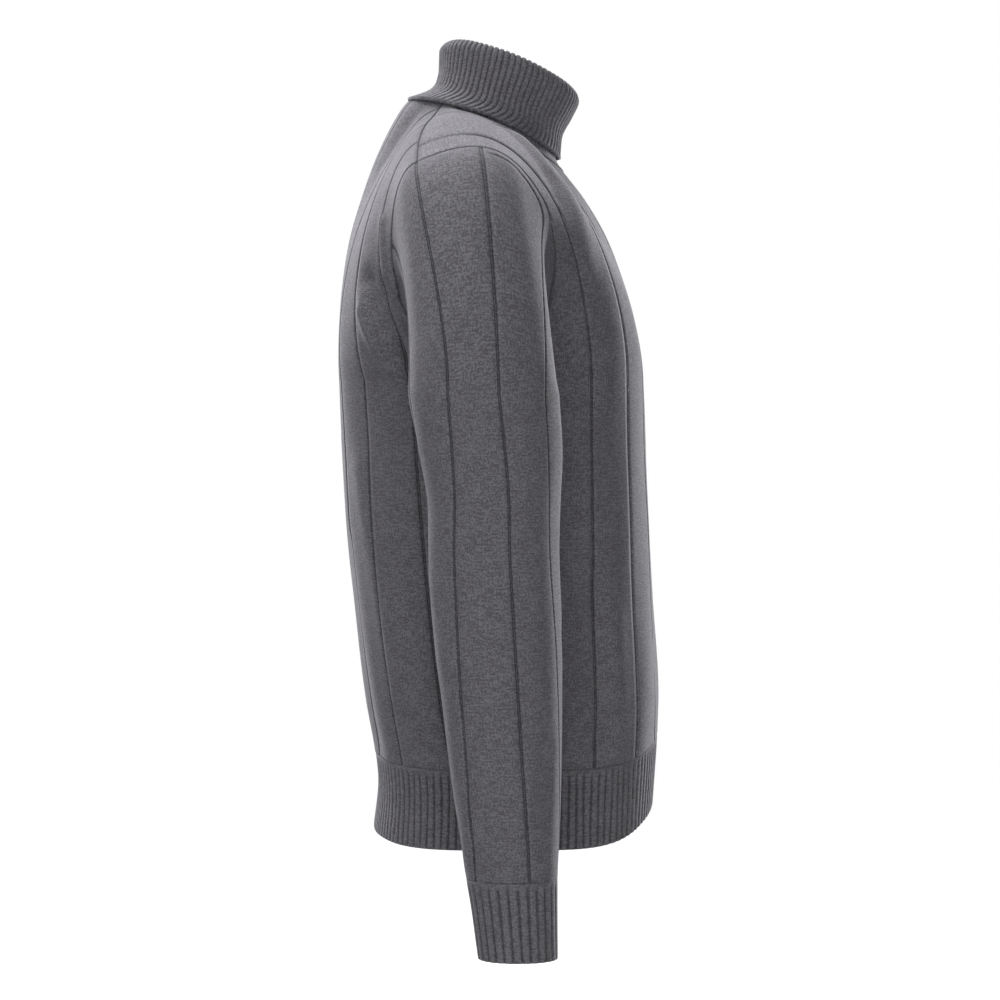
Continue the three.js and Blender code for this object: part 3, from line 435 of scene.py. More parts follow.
FRONT = Panel(-1, FRONT_LINE_DRIFT, 0.0, FRONT_YOKE, FRONT_PULLS, FRONT_FOLDS, FRONT_SOFT)
BACK = Panel(1, BACK_LINE_DRIFT, BACK_LINE_SPREAD, BACK_YOKE, BACK_PULLS, BACK_FOLDS, BACK_SOFT)


def grid_normals(points, closed, sign):
    """Outward normals of a grid of points, rows by columns."""
    if closed:
        wrapped = np.concatenate([points[:, -1:], points, points[:, :1]], axis=1)
        along_row = wrapped[:, 2:] - wrapped[:, :-2]
    else:
        along_row = np.gradient(points, axis=1)
    return sign * unit(np.cross(along_row, np.gradient(points, axis=0)))


def spaced(marks, step):
    """Places through the given marks, about one step apart or less."""
    marks = np.unique(np.round(np.array(marks, float), 4))
    out = [marks[:1]]
    for a, b in zip(marks[:-1], marks[1:]):
        n = max(1, int(math.ceil((b - a) / step - 1e-6)))
        out.append(a + (b - a) * np.arange(1, n + 1) / n)
    return np.concatenate(out)


def grid_mesh(name, points, fields, closed=False, flip=False):
    """A sheet of faces through a grid of points in millimetres, with a UV map in metres of cloth and one
    value per corner for each named field."""
    rows, cols = points.shape[:2]
    wide = cols if closed else cols - 1
    r, c = np.meshgrid(np.arange(rows - 1), np.arange(wide), indexing="ij")
    n = (c + 1) % cols
    low, high = r * cols, (r + 1) * cols
    quads = np.stack([low + c, low + n, high + n, high + c], axis=-1).reshape(-1, 4)
    if flip:
        quads = quads[:, ::-1]
    mesh = bpy.data.meshes.new(name)
    mesh.from_pydata((points.reshape(-1, 3) * MM).tolist(), [], quads.tolist())
    u, v = fields["across"], fields["up"]
    if closed:
        u = np.concatenate([u, u[:, :1] + fields["round"]], axis=1)
        v = np.concatenate([v, v[:, :1]], axis=1)
    corner_cols = np.stack([c, c + 1, c + 1, c], axis=-1).reshape(-1, 4)
    corner_rows = np.stack([r, r, r + 1, r + 1], axis=-1).reshape(-1, 4)
    if flip:
        corner_cols, corner_rows = corner_cols[:, ::-1], corner_rows[:, ::-1]
    uv = np.stack([u[corner_rows, corner_cols], v[corner_rows, corner_cols]], axis=-1) * MM
    layer = mesh.uv_layers.new(name="Cloth")
    layer.data.foreach_set("uv", uv.reshape(-1))
    for field in ("rib", "rib_depth", "line", "line_depth", "seam"):
        values = np.broadcast_to(fields.get(field, 0.0), (rows, cols)).astype(np.float32).reshape(-1)
        mesh.attributes.new(field, "FLOAT", "POINT").data.foreach_set("value", values)
    mesh.polygons.foreach_set("use_smooth", [True] * len(mesh.polygons))
    piece = bpy.data.objects.new(name, mesh)
    bpy.context.collection.objects.link(piece)
    return piece


# Node groups. Hollows get a mask of painted shade for the material: how dark a seam's edge is painted, and
# the most it may be
SEAM_SHADE = 0.5
DARKEST_PAINTED_SHADE = 1.25


def sockets(tree, inputs, outputs):
    for kind, rows in (("INPUT", inputs), ("OUTPUT", outputs)):
        for name, socket_type, value in rows:
            socket = tree.interface.new_socket(name, in_out=kind, socket_type=socket_type)
            if value is not None:
                socket.default_value = value


class Wires:
    """Short hand for adding and joining nodes in a tree."""

    def __init__(self, tree):
        self.tree = tree

    def add(self, kind, inputs=None, **settings):
        node = self.tree.nodes.new(kind)
        for name, value in settings.items():
            setattr(node, name, value)
        for key, value in (inputs or {}).items():
            if isinstance(value, bpy.types.NodeSocket):
                self.tree.links.new(value, node.inputs[key])
            else:
                node.inputs[key].default_value = value
        return node

    def math(self, operation, a, b=0.0):
        return self.add("ShaderNodeMath", {0: a, 1: b}, operation=operation).outputs[0]

    def times(self, a, b):
        return self.math("MULTIPLY", a, b)

    def plus(self, a, b):
        return self.math("ADD", a, b)

    def less(self, a, b):
        return self.math("SUBTRACT", a, b)

    def size(self, a):
        return self.math("ABSOLUTE", a)

    def vector(self, operation, a, b):
        return self.add("ShaderNodeVectorMath", {0: a, 1: b}, operation=operation).outputs[0]

    def mix(self, factor, a, b):
        return self.add("ShaderNodeMix", {"Factor": factor, 6: a, 7: b}, data_type="RGBA").outputs[2]

    def ramp(self, value, low, high):
        """Rises smoothly from 0 at low to 1 at high."""
        node = self.add("ShaderNodeMapRange", {0: value, 1: low, 2: high}, interpolation_type="SMOOTHSTEP")
        return node.outputs[0]


def relief_tree():
    """Presses the grooves between ribs and the sunk lines into a sheet of knit along its normals, and gives
    them a mask of painted shade.
    """
    tree = bpy.data.node_groups.new("Rib and line relief", "GeometryNodeTree")
    sockets(tree, [
        ("Sheet", "NodeSocketGeometry", None),
        ("Groove start", "NodeSocketFloat", 0.46),
        ("Line width", "NodeSocketFloat", LINE_WIDTH),
        ("Welt height", "NodeSocketFloat", 0.6),
        ("Seam depth", "NodeSocketFloat", 0.9),
        ("Material", "NodeSocketMaterial", None),
    ], [("Sheet", "NodeSocketGeometry", None)])
    w = Wires(tree)
    given = w.add("NodeGroupInput").outputs

    def field(name):
        return w.add("GeometryNodeInputNamedAttribute", {"Name": name}, data_type="FLOAT").outputs[0]

    rib, rib_depth, line_depth, seam = (field(n) for n in ("rib", "rib_depth", "line_depth", "seam"))
    from_crest = w.times(w.size(w.less(rib, w.math("ROUND", rib))), 2.0)
    groove = w.ramp(from_crest, given["Groove start"], 1.0)
    half = w.times(given["Line width"], 0.5)
    from_line = w.size(field("line"))
    trench = w.ramp(from_line, half, w.times(half, 0.62))
    welt = w.ramp(from_line, w.times(half, 0.6), 0.0)
    line = w.less(trench, w.times(welt, given["Welt height"]))
    sunk = w.plus(w.times(groove, rib_depth), w.times(line, line_depth))
    sunk = w.plus(sunk, w.times(seam, given["Seam depth"]))
    inward = w.times(sunk, -MM)
    normal = w.add("GeometryNodeInputNormal").outputs[0]
    offset = w.add("ShaderNodeVectorMath", {0: normal, "Scale": inward}, operation="SCALE")
    moved = w.add("GeometryNodeSetPosition", {"Geometry": given["Sheet"], "Offset": offset.outputs[0]})
    # Painted shade: how much the colour is darkened in the grooves, the sunk lines and along seams
    rib_painted_shade = w.times(groove, w.math("DIVIDE", rib_depth, RIB_DEPTH))
    line_painted_shade = w.times(line, w.math("DIVIDE", line_depth, LINE_DEPTH))
    painted_shade_mask = w.math("MAXIMUM", w.math("MAXIMUM", rib_painted_shade, line_painted_shade), w.times(seam, SEAM_SHADE))
    painted_shade_mask = w.math("MINIMUM", painted_shade_mask, DARKEST_PAINTED_SHADE)
    stored = {"Geometry": moved.outputs[0], "Name": "painted_hollow_shade", "Value": painted_shade_mask}
    kept = w.add("GeometryNodeStoreNamedAttribute", stored, data_type="FLOAT", domain="POINT")
    whole = w.add("GeometryNodeRealizeInstances", {"Geometry": kept.outputs[0]})
    done = w.add("GeometryNodeSetMaterial", {"Geometry": whole.outputs[0], "Material": given["Material"]})
    tree.links.new(done.outputs[0], w.add("NodeGroupOutput").inputs[0])
    return tree


def stitch_tree():
    """A row of small knitted links, tip to tail along a line of points."""
    tree = bpy.data.node_groups.new("Linking stitches", "GeometryNodeTree")
    sockets(tree, [
        ("Seam", "NodeSocketGeometry", None),
        ("Spacing", "NodeSocketFloat", 0.0024),
        ("Thickness", "NodeSocketFloat", 0.0005),
        ("Material", "NodeSocketMaterial", None),
    ], [("Stitches", "NodeSocketGeometry", None)])
    w = Wires(tree)
    given = w.add("NodeGroupInput").outputs
    curve = w.add("GeometryNodeMeshToCurve", {"Mesh": given["Seam"]}).outputs[0]
    points = w.add("GeometryNodeResampleCurve", {"Curve": curve, "Length": given["Spacing"]}, mode="LENGTH")
    tangent = w.add("GeometryNodeInputTangent").outputs[0]
    turn = w.add("FunctionNodeAlignRotationToVector", {"Vector": tangent}, axis="Z")
    link = w.add("GeometryNodeMeshUVSphere", {"Segments": 6, "Rings": 5, "Radius": 1.0}).outputs["Mesh"]
    reach = w.times(given["Spacing"], 0.5)
    size = w.add("ShaderNodeCombineXYZ", {0: given["Thickness"], 1: given["Thickness"], 2: reach}).outputs[0]
    placed = w.add("GeometryNodeInstanceOnPoints", {
        "Points": points.outputs[0], "Instance": link, "Rotation": turn.outputs[0], "Scale": size,
    })
    whole = w.add("GeometryNodeRealizeInstances", {"Geometry": placed.outputs[0]})
    smooth = w.add("GeometryNodeSetShadeSmooth", {"Geometry": whole.outputs[0]})
    done = w.add("GeometryNodeSetMaterial", {"Geometry": smooth.outputs[0], "Material": given["Material"]})
    tree.links.new(done.outputs[0], w.add("NodeGroupOutput").inputs[0])
    return tree


def knit_group():
    """Colour and height of fine melange knit from its cloth coordinates in metres; the colour holds painted
    shade.
    """
    tree = bpy.data.node_groups.new("Melange knit", "ShaderNodeTree")
    sockets(tree, [
        ("Cloth", "NodeSocketVector", None),
        ("Colour", "NodeSocketColor", (0.11, 0.107, 0.12, 1)),
        ("Dark fibre", "NodeSocketColor", (0.05, 0.048, 0.056, 1)),
        ("Light fibre", "NodeSocketColor", (0.2, 0.196, 0.215, 1)),
        ("Painted shade mask", "NodeSocketFloat", 0.0),
        ("Painted shade strength", "NodeSocketFloat", 0.6),
        ("Wale width", "NodeSocketFloat", 0.0017),
        ("Course height", "NodeSocketFloat", 0.0013),
    ], [("Colour", "NodeSocketColor", None), ("Height", "NodeSocketFloat", None)])
    w = Wires(tree)
    given = w.add("NodeGroupInput").outputs
    split = w.add("ShaderNodeSeparateXYZ", {0: given["Cloth"]}).outputs
    wale = w.math("DIVIDE", split[0], given["Wale width"])
    side = w.size(w.less(w.math("FRACT", wale), 0.5))
    course = w.plus(w.math("DIVIDE", split[1], given["Course height"]), w.times(side, 1.3))
    loop = w.math("SINE", w.times(course, 6.2832))
    leg = w.math("SINE", w.times(side, 12.566))
    stitch = w.plus(w.times(loop, 0.25), w.times(leg, 0.25))

    def noise(stretch, scale, detail):
        values = {"Vector": w.vector("MULTIPLY", given["Cloth"], stretch), "Scale": scale, "Detail": detail,
                  "Roughness": 0.6}
        return w.add("ShaderNodeTexNoise", values, noise_dimensions="2D").outputs[0]

    # Fibres of both shades: flecks, short streaks along courses and wales, and slow clouds
    flecks = noise((1.0, 1.0, 1.0), 660.0, 2.0)
    courses = noise((0.22, 1.0, 1.0), 620.0, 1.0)
    wales = noise((1.0, 0.28, 1.0), 620.0, 1.0)
    clouds = noise((0.6, 1.0, 1.0), 75.0, 2.0)
    height = w.plus(w.times(stitch, 0.5), w.times(flecks, 0.9))
    tone = w.plus(w.times(flecks, 0.5), w.times(courses, 0.24))
    tone = w.plus(tone, w.times(wales, 0.15))
    tone = w.plus(tone, w.times(clouds, 0.11))
    dark = w.times(w.ramp(tone, 0.5, 0.43), 0.5)
    light = w.times(w.ramp(tone, 0.5, 0.58), 0.45)
    base = w.mix(light, w.mix(dark, given["Colour"], given["Dark fibre"]), given["Light fibre"])
    # Painted shade: the colour is darkened where the mask of painted shade lies
    shade = w.less(1.0, w.times(given["Painted shade mask"], given["Painted shade strength"]))
    # Painted shade and light: the colour darkens and lightens with the relief of each stitch's loops and
    # legs
    shade = w.times(shade, w.plus(1.0, w.times(stitch, 0.16)))
    painted_shade_grey = w.add("ShaderNodeCombineXYZ", {0: shade, 1: shade, 2: shade}).outputs[0]
    out = w.add("NodeGroupOutput")
    tree.links.new(w.vector("MULTIPLY", base, painted_shade_grey), out.inputs["Colour"])
    tree.links.new(height, out.inputs["Height"])
    return tree


KNIT_GROUP = knit_group()


def empty_material(name):
    material = bpy.data.materials.new(name)
    material.use_nodes = True
    material.node_tree.nodes.clear()
    return material, Wires(material.node_tree)


def knit_material(name, shades, painted_shade_strength):
    """Soft matt knit in three shades: the yarn's own, its dark fibres and its light ones."""
    material, w = empty_material(name)
    cloth = w.add("ShaderNodeUVMap", uv_map="Cloth").outputs[0]
    painted_hollow_shade = w.add("ShaderNodeAttribute", attribute_name="painted_hollow_shade").outputs["Fac"]
    knit = w.add("ShaderNodeGroup", node_tree=KNIT_GROUP)
    for key, shade in zip(("Colour", "Dark fibre", "Light fibre"), shades):
        knit.inputs[key].default_value = (*shade, 1)
    knit.inputs["Painted shade strength"].default_value = painted_shade_strength
    w.tree.links.new(cloth, knit.inputs["Cloth"])
    w.tree.links.new(painted_hollow_shade, knit.inputs["Painted shade mask"])
    relief = w.add("ShaderNodeBump", {"Height": knit.outputs["Height"], "Strength": 0.5, "Distance": 0.0006})
    shader = w.add("ShaderNodeBsdfPrincipled", {
        "Base Color": knit.outputs["Colour"], "Roughness": 0.92, "Specular IOR Level": 0.25,
        "Sheen Weight": 0.35, "Sheen Roughness": 0.45, "Sheen Tint": (0.62, 0.6, 0.66, 1),
        "Normal": relief.outputs[0],
    })
    w.tree.links.new(shader.outputs[0], w.add("ShaderNodeOutputMaterial").inputs[0])
    return material


def yarn_material():
    material, w = empty_material("Linking yarn")
    place = w.add("ShaderNodeTexCoord").outputs["Object"]
    ply = w.add("ShaderNodeTexNoise", {"Vector": place, "Scale": 2200.0, "Detail": 2.0}).outputs[0]
    shader = w.add("ShaderNodeBsdfPrincipled", {
        "Base Color": w.mix(ply, (0.08, 0.077, 0.088, 1), (0.17, 0.166, 0.184, 1)), "Roughness": 0.9,
        "Specular IOR Level": 0.2, "Sheen Weight": 0.3, "Sheen Roughness": 0.5,
    })
    w.tree.links.new(shader.outputs[0], w.add("ShaderNodeOutputMaterial").inputs[0])
    return material


LIGHT_FIBRE = (0.27, 0.265, 0.286)
PLAIN_SHADES = (0.142, 0.138, 0.152), (0.06, 0.058, 0.067), LIGHT_FIBRE
# Painted light: the hems and cuffs are the same yarn as the plain knit, painted lighter
RIB_SHADES_PAINTED_LIGHTER = (0.156, 0.152, 0.167), (0.07, 0.068, 0.077), LIGHT_FIBRE
# Painted light: the collar's knit is the same yarn as the hem rib, painted lighter and with less painted
# shade in its grooves
COLLAR_SHADES_PAINTED_LIGHTER = (0.158, 0.154, 0.169), (0.072, 0.07, 0.079), LIGHT_FIBRE
PLAIN_KNIT = knit_material("Plain melange knit", PLAIN_SHADES, 0.72)
RIB_KNIT_PAINTED_LIGHTER = knit_material("Rib melange knit painted lighter", RIB_SHADES_PAINTED_LIGHTER, 0.6)
COLLAR_KNIT_PAINTED_LIGHTER = knit_material("Collar melange knit painted lighter", COLLAR_SHADES_PAINTED_LIGHTER, 0.5)
YARN = yarn_material()
RELIEF = relief_tree()
STITCHES = stitch_tree()


def set_input(modifier, name, value):
    items = modifier.node_group.interface.items_tree
    socket = next(s for s in items if s.name == name and s.in_out == "INPUT")
    modifier[socket.identifier] = value


def shaped(piece, tree, values):
    """Runs a node tree on a piece and keeps the result as its plain mesh."""
    modifier = piece.modifiers.new("Shape", "NODES")
    modifier.node_group = tree
    for name, value in values.items():
        set_input(modifier, name, value)
    evaluated = piece.evaluated_get(bpy.context.evaluated_depsgraph_get())
    mesh = bpy.data.meshes.new_from_object(evaluated)
    piece.modifiers.remove(modifier)
    piece.data = mesh
    mesh.name = piece.name
    return piece


def finish_cloth(piece, node, material, slot, wall, flat, area):
    """Relief, wall thickness and the piece's place in the frame."""
    shaped(piece, RELIEF, {"Material": material})
    thick = piece.modifiers.new("Wall", "SOLIDIFY")
    thick.thickness = wall * MM
    thick.offset = -1
    thick.use_even_offset = False
    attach(piece, "root")
    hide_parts(node)


def seam_rows(name, row, closed=False):
    """Linking stitches along a row of points in millimetres."""
    edges = [(i, i + 1) for i in range(len(row) - 1)] + ([(len(row) - 1, 0)] if closed else [])
    mesh = bpy.data.meshes.new(name)
    mesh.from_pydata((np.asarray(row) * MM).tolist(), edges, [])
    piece = bpy.data.objects.new(name, mesh)
    bpy.context.collection.objects.link(piece)
    shaped(piece, STITCHES, {"Material": YARN})
    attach(piece, "root")
    return piece


def seam_sink(distance):
    """1 on a seam's edge, fading within about 2 mm of it."""
    return 1 - smooth_step(0.2, 2.6, distance)


def nearest_line(place, first, count):
    """Signed distance from the nearest sunk line of a row of parallel lines."""
    lines = first + LINE_SPACING * np.arange(count)
    gaps = place[..., None] - lines
    best = np.argmin(np.abs(gaps), axis=-1)
    return np.take_along_axis(gaps, best[..., None], axis=-1)[..., 0]


def line_marks(lines):
    """Places of the mesh's corners across each sunk line."""
    half = LINE_WIDTH / 2
    return [at + part * half for at in lines for part in (-1, -0.8, -0.6, -0.3, 0, 0.3, 0.6, 0.8, 1)]


def panel_piece(name, panel):
    lines = LINE_SPACING * (np.arange(-5, 5) + 0.5)
    lines = lines[np.abs(lines) < panel.half - 4]
    ends = [panel.half, panel.half - 1.5, panel.neck_corner]
    marks = ends + [-place for place in ends]
    places = spaced(marks + line_marks(lines), GRID)
    ups = np.concatenate([
        spaced([HEM_RIB_TOP + HALF_GAP, HEM_RIB_TOP + 2, CHEST], GRID),
        CHEST + YOKE_RISE * spaced([0.0, 0.92, 1.0], GRID / 230)[1:],
    ])
    ups[-1] = CHEST + YOKE_RISE - 0.05
    rows = np.stack([panel.surface(panel.across_at(places, up), up) for up in ups])
    across = np.stack([panel.across_at(places, up) for up in ups])
    edge = np.array([panel.edge(up) for up in ups])[:, None]
    up = ups[:, None] + 0 * across
    normals = grid_normals(rows, False, -panel.facing)
    from_edge = edge - np.abs(across)
    fade = np.clip(from_edge / FOLD_FADE, 0, 1)
    top_fade = np.clip((CHEST + YOKE_RISE - up) / 30, 0, 1)
    fine = fold_height(panel.soft, across, up) + PANEL_SOFT * softness(across, up, PANEL_SEED)
    height = fade * fold_height(panel.folds, across, up) + fade * top_fade * fine
    points = rows + normals * height[..., None]
    # Seam gap at both side edges and along the top
    points[:, 0] += unit(points[:, 1] - points[:, 0]) * HALF_GAP
    points[:, -1] += unit(points[:, -2] - points[:, -1]) * HALF_GAP
    points[-1] += unit(points[-2] - points[-1]) * HALF_GAP
    to_top = np.linalg.norm(points - points[-1:], axis=-1)
    # Lines fade towards the shoulder, and past the last kept place they end below the armhole
    beyond = np.abs(places)[None, :] > KEPT_ACROSS
    rise = (up - CHEST) / YOKE_RISE
    faint = 0.55 * (smooth_step(0.3, 0.7, rise) if panel is BACK else smooth_step(0.75, 0.95, rise))
    line_depth = np.where(beyond, np.clip((CHEST - up) / 70, 0, 1), 1 - faint) * LINE_DEPTH
    line = nearest_line(places, lines[0], len(lines))[None, :] + 0 * across
    fields = {
        "across": across, "up": up, "line": line, "line_depth": line_depth,
        "seam": np.maximum(seam_sink(from_edge), seam_sink(to_top)),
    }
    return grid_mesh(name, points, fields, flip=panel.facing > 0)


def rib_relief(from_top, from_end):
    """Depth of the grooves of a hem or cuff, which starts below its seam and is less at the free edge."""
    return RIB_DEPTH * smooth_step(0, 9, from_top) * (0.55 + 0.45 * smooth_step(0, 2.5, from_end))


def rib_levels(low, high):
    return spaced([low, low + 1.2, low + 3, high - 3, high - HALF_GAP], RIB_ROW)


def hem_piece(name, panel):
    ribs = round(panel.edge(HEM_RIB_TOP) / HEM_RIB_SPACING)
    share = np.linspace(-1, 1, 2 * ribs * RIB_STEPS + 1)
    ups = rib_levels(HEM_END, HEM_RIB_TOP)
    across = np.stack([share * (panel.edge(up) - HALF_GAP) for up in ups])
    rows = np.stack([panel.surface(a, up) for a, up in zip(across, ups)])
    up = ups[:, None] + 0 * across
    normals = grid_normals(rows, False, -panel.facing)
    fade = np.clip((1 - np.abs(share)) * 8, 0, 1)
    points = rows + normals * (HEM_SOFT * softness(across, up, HEM_SEED) * fade)[..., None]
    wander = 0.04 * np.sin(across / 9 + up / 21) + 0.03 * np.sin(across / 3.1 + up / 13)
    side_seam = seam_sink((1 - np.abs(share)) * panel.half)
    fields = {
        "across": across, "up": up, "rib": share * ribs + 0 * up + wander,
        "rib_depth": rib_relief(HEM_RIB_TOP - up, up - HEM_END),
        "seam": np.maximum(seam_sink(HEM_RIB_TOP - up) * RIB_SEAM, side_seam),
    }
    return grid_mesh(name, points, fields, flip=panel.facing > 0)


def half_sleeve(level, facing):
    """Half of a sleeve ring of the wearer's left, from its outer side to the inner one."""
    ring = {name: read(SLEEVE_RINGS, name, level) for name in SLEEVE_RINGS if name != "level"}
    angle = np.linspace(0, math.pi, RING_STEPS + 1)
    power = 2 / SLEEVE_SQUARENESS
    cos, sin = np.cos(angle), np.clip(np.sin(angle), 0, 1)
    x = ring["out"] + ring["wide"] * np.sign(cos) * np.abs(cos) ** power
    y = ring["back"] + facing * ring["deep"] * sin ** power
    return np.stack([x, y, level + 0 * x], axis=-1)


SLEEVE_HALF = lengths(half_sleeve(SLEEVE_RING, -1))[-1]


def sleeve_ring_points(around, level):
    front = along(half_sleeve(level, -1), np.abs(around))
    back = along(half_sleeve(level, 1), np.abs(around))
    return np.where((around < 0)[..., None], back, front)


def armhole_loop():
    """Round the armhole of the wearer's left: points, the direction that leaves the panels, and the place
    round the sleeve, from the underarm over the back to the front."""
    points, away = [], []
    for panel in (FRONT, BACK):
        ups = CHEST + YOKE_RISE * np.linspace(0, 1, ARMHOLE_STEPS + 1)
        edge = np.array([panel.edge(up) for up in ups])
        line = np.stack([panel.surface(np.array([e]), up)[0] for e, up in zip(edge, ups)])
        inner = np.stack([panel.surface(np.array([e - 1.5]), up)[0] for e, up in zip(edge, ups)])
        run = unit(np.gradient(line, axis=0))
        across = unit(line - inner)
        leave = unit(across - run * np.sum(across * run, axis=-1, keepdims=True))
        if panel is BACK:
            line, leave = line[::-1][1:], leave[::-1][1:]
        points.append(line)
        away.append(leave)
    points, away = np.vstack(points), np.vstack(away)
    at = lengths(points)
    crossing = next(k for k in range(1, len(points)) if points[k, 1] > CAP_TOP_BACK and points[k, 2] > -110)
    share = (CAP_TOP_BACK - points[crossing - 1, 1]) / (points[crossing, 1] - points[crossing - 1, 1])
    top = at[crossing - 1] + (at[crossing] - at[crossing - 1]) * share
    place = np.where(at < top, (top - at) / top, (top - at) / (at[-1] - top)) * SLEEVE_HALF
    order = np.argsort(place)
    return place[order], points[order], away[order]


ARM_PLACE, ARM_POINT, ARM_AWAY = armhole_loop()


def cap_direction(place):
    kernel = np.ones(9) / 9
    padded = np.concatenate([ARM_AWAY[-4:], ARM_AWAY, ARM_AWAY[:4]])
    calm = [np.convolve(padded[:, k], kernel, "valid") for k in range(3)]
    return unit(np.stack([np.interp(place, ARM_PLACE, values) for values in calm], axis=-1))


def cap_points(around, w):
    """Points of the sleeve's cap, from the armhole seam (w is 0) down to the first whole ring (w is 1)."""
    away = cap_direction(around)
    start = np.stack([np.interp(around, ARM_PLACE, ARM_POINT[:, k]) for k in range(3)], axis=-1)
    turn = np.minimum(np.abs(around) / SLEEVE_HALF, 1)
    leave, arrive = read(CAP_PULLS, "leave", turn)[:, None], read(CAP_PULLS, "arrive", turn)[:, None]
    ring = sleeve_ring_points(around, SLEEVE_RING)
    return ease(start + away * HALF_GAP, ring, away * leave, np.array([0, 0, -1]) * arrive, w)


def sleeve_piece(name, side):
    lines = SLEEVE_LINE_START + LINE_SPACING * np.arange(-2, 3)
    near_turn = lines[3] + np.arange(-16, 5, 1.2)
    marks = [-SLEEVE_HALF, SLEEVE_HALF, *near_turn] + line_marks(lines)
    places = spaced(marks, GRID)[:-1]
    levels = spaced([CUFF_TOP + HALF_GAP, CUFF_TOP + 2, SLEEVE_RING], GRID + 0.4)
    drift = np.interp(places, SLEEVE_DRIFT["place"], SLEEVE_DRIFT["drift"])
    with_front_line = np.clip(1 - np.abs(places - lines[3]) / LINE_SPACING, 0, 1)

    def drifted(around, level):
        shift = read(FRONT_LINE_SHIFT, "shift", level) * with_front_line
        return around + drift * smooth_step(*SLEEVE_DRIFT_SPAN, level) + shift

    rows, arounds = [], []
    for level in levels:
        kept = np.where(places < 0, SLEEVE_KEPT_BACK, SLEEVE_KEPT_FRONT)
        half = lengths(half_sleeve(level, -1))[-1]
        share = (np.abs(places) - kept) / (SLEEVE_HALF - kept)
        around = np.where(np.abs(places) <= kept, places, np.sign(places) * (kept + (half - kept) * share))
        around = drifted(around, level)
        rows.append(sleeve_ring_points(around, level))
        arounds.append(around)
    shares = np.concatenate([np.linspace(start, end, count + 1)[1:] for start, end, count in CAP_ROWS])
    for w in shares:
        around = drifted(places, SLEEVE_RING + CAP_RISE * (1 - w))
        rows.append(cap_points(around, w))
        arounds.append(around)
    rows, around = np.stack(rows), np.stack(arounds)
    up = np.concatenate([levels, SLEEVE_RING + CAP_RISE * (1 - shares)])[:, None] + 0 * around
    normals = grid_normals(rows, True, -1)
    steps = np.linalg.norm(np.diff(rows[::-1], axis=0), axis=-1)
    to_seam = np.concatenate([np.cumsum(steps, axis=0)[::-1], np.zeros((1, len(places)))])
    fade = np.clip(to_seam / 30, 0, 1) * np.clip((up - CUFF_TOP) / 25, 0.0, 1)
    uneven = SLEEVE_SOFT * softness(around, up, SLEEVE_SEED + side)
    height = fade * (fold_height(SLEEVE_FOLDS, around, up) + uneven)
    points = rows + normals * height[..., None]
    points[..., 0] *= side
    # One more sunk line runs beside the armhole seam in front, from the middle line, and turns into the
    # front line; above that turn the front line stops
    line = nearest_line(places, lines[0], 5)[None, :] + 0 * around
    beside, before = to_seam - CAP_LINE, lines[3] - places[None, :] + 0 * around
    near = np.clip(1 - np.abs(beside - before) / CAP_LINE_TURN, 0, 1)
    turned = np.minimum(beside, before) - near * near * CAP_LINE_TURN / 4
    in_front = (places > lines[2] + 4) & (places < lines[3] + LINE_SPACING / 2)
    on_cap = in_front[None, :] & (up > SLEEVE_RING)
    line = np.where(on_cap & (before < LINE_SPACING - 4), turned, line)
    # The front line is a little deeper and darker in painted shade, and the inner one ends below the
    # underarm
    front_line = np.abs(places - lines[3]) < LINE_SPACING / 2
    inner_line = places > lines[4] - LINE_SPACING / 2
    strength = 1 + 0.3 * front_line[None, :] - inner_line[None, :] * smooth_step(-350, -290, up)
    fields = {
        "across": around * side, "up": up, "round": 2 * SLEEVE_HALF * side, "line": line,
        "line_depth": LINE_DEPTH * strength,
        "seam": np.maximum(seam_sink(to_seam), seam_sink(up - CUFF_TOP) * RIB_SEAM),
    }
    return grid_mesh(name, points, fields, closed=True, flip=side > 0)


def cuff_piece(name, side):
    share = -1 + np.arange(CUFF_RIBS * RIB_STEPS) * 2 / (CUFF_RIBS * RIB_STEPS)
    levels = rib_levels(CUFF_END, CUFF_TOP)
    halves = np.array([lengths(half_sleeve(level, -1))[-1] for level in levels])
    around = share[None, :] * halves[:, None]
    points = np.stack([sleeve_ring_points(a, level) for a, level in zip(around, levels)])
    points[..., 0] *= side
    up = levels[:, None] + 0 * around
    fields = {
        "across": around * side, "up": up, "round": 2 * halves[0] * side,
        "rib": share[None, :] * CUFF_RIBS / 2 + 0 * up,
        "rib_depth": rib_relief(CUFF_TOP - up, up - CUFF_END),
        "seam": seam_sink(CUFF_TOP - up) * RIB_SEAM,
    }
    return grid_mesh(name, points, fields, closed=True, flip=side > 0)


def neck_across(turn):
    """The panel and the place across it at a turn round the neck seam."""
    panel = FRONT if turn <= NECK_POINT_TURN else BACK
    key = panel.yoke["turn"]
    order = np.argsort(key, kind="stable")
    inside = [i for i in order if panel.yoke["share"][i] == 0]
    return panel, float(np.interp(turn, key[inside], panel.yoke["across"][inside]))


def neck_seam(turns):
    """Points of the neck seam with the direction in which the knit goes on, and its outward normal."""
    points, rise, normal = [], [], []
    top = CHEST + YOKE_RISE
    for turn in turns:
        panel, across = neck_across(abs(turn))
        side = -1.0 if turn < 0 else 1.0
        end = panel.surface(np.array([across]), top)[0]
        up = unit(end - panel.surface(np.array([across]), top - 3)[0])
        beside = panel.surface(np.array([across + 2, max(across - 2, 0.01)]), top - 1)
        wide = unit(beside[0] - beside[1])
        out = unit(np.cross(wide, up)) * (1 if panel is FRONT else -1)
        mirror = np.array([side, 1, 1])
        points.append(end * mirror)
        rise.append(up * mirror)
        normal.append(out * mirror)
    return np.array(points), calm_ring(np.array(rise), 13), calm_ring(np.array(normal), 13)


def calm_ring(values, width):
    """Directions round a ring, each the mean of those near it."""
    pad = width // 2
    kernel = np.ones(width) / width
    padded = np.concatenate([values[-pad:], values, values[:pad]])
    return unit(np.stack([np.convolve(padded[:, k], kernel, "valid") for k in range(3)], axis=-1))


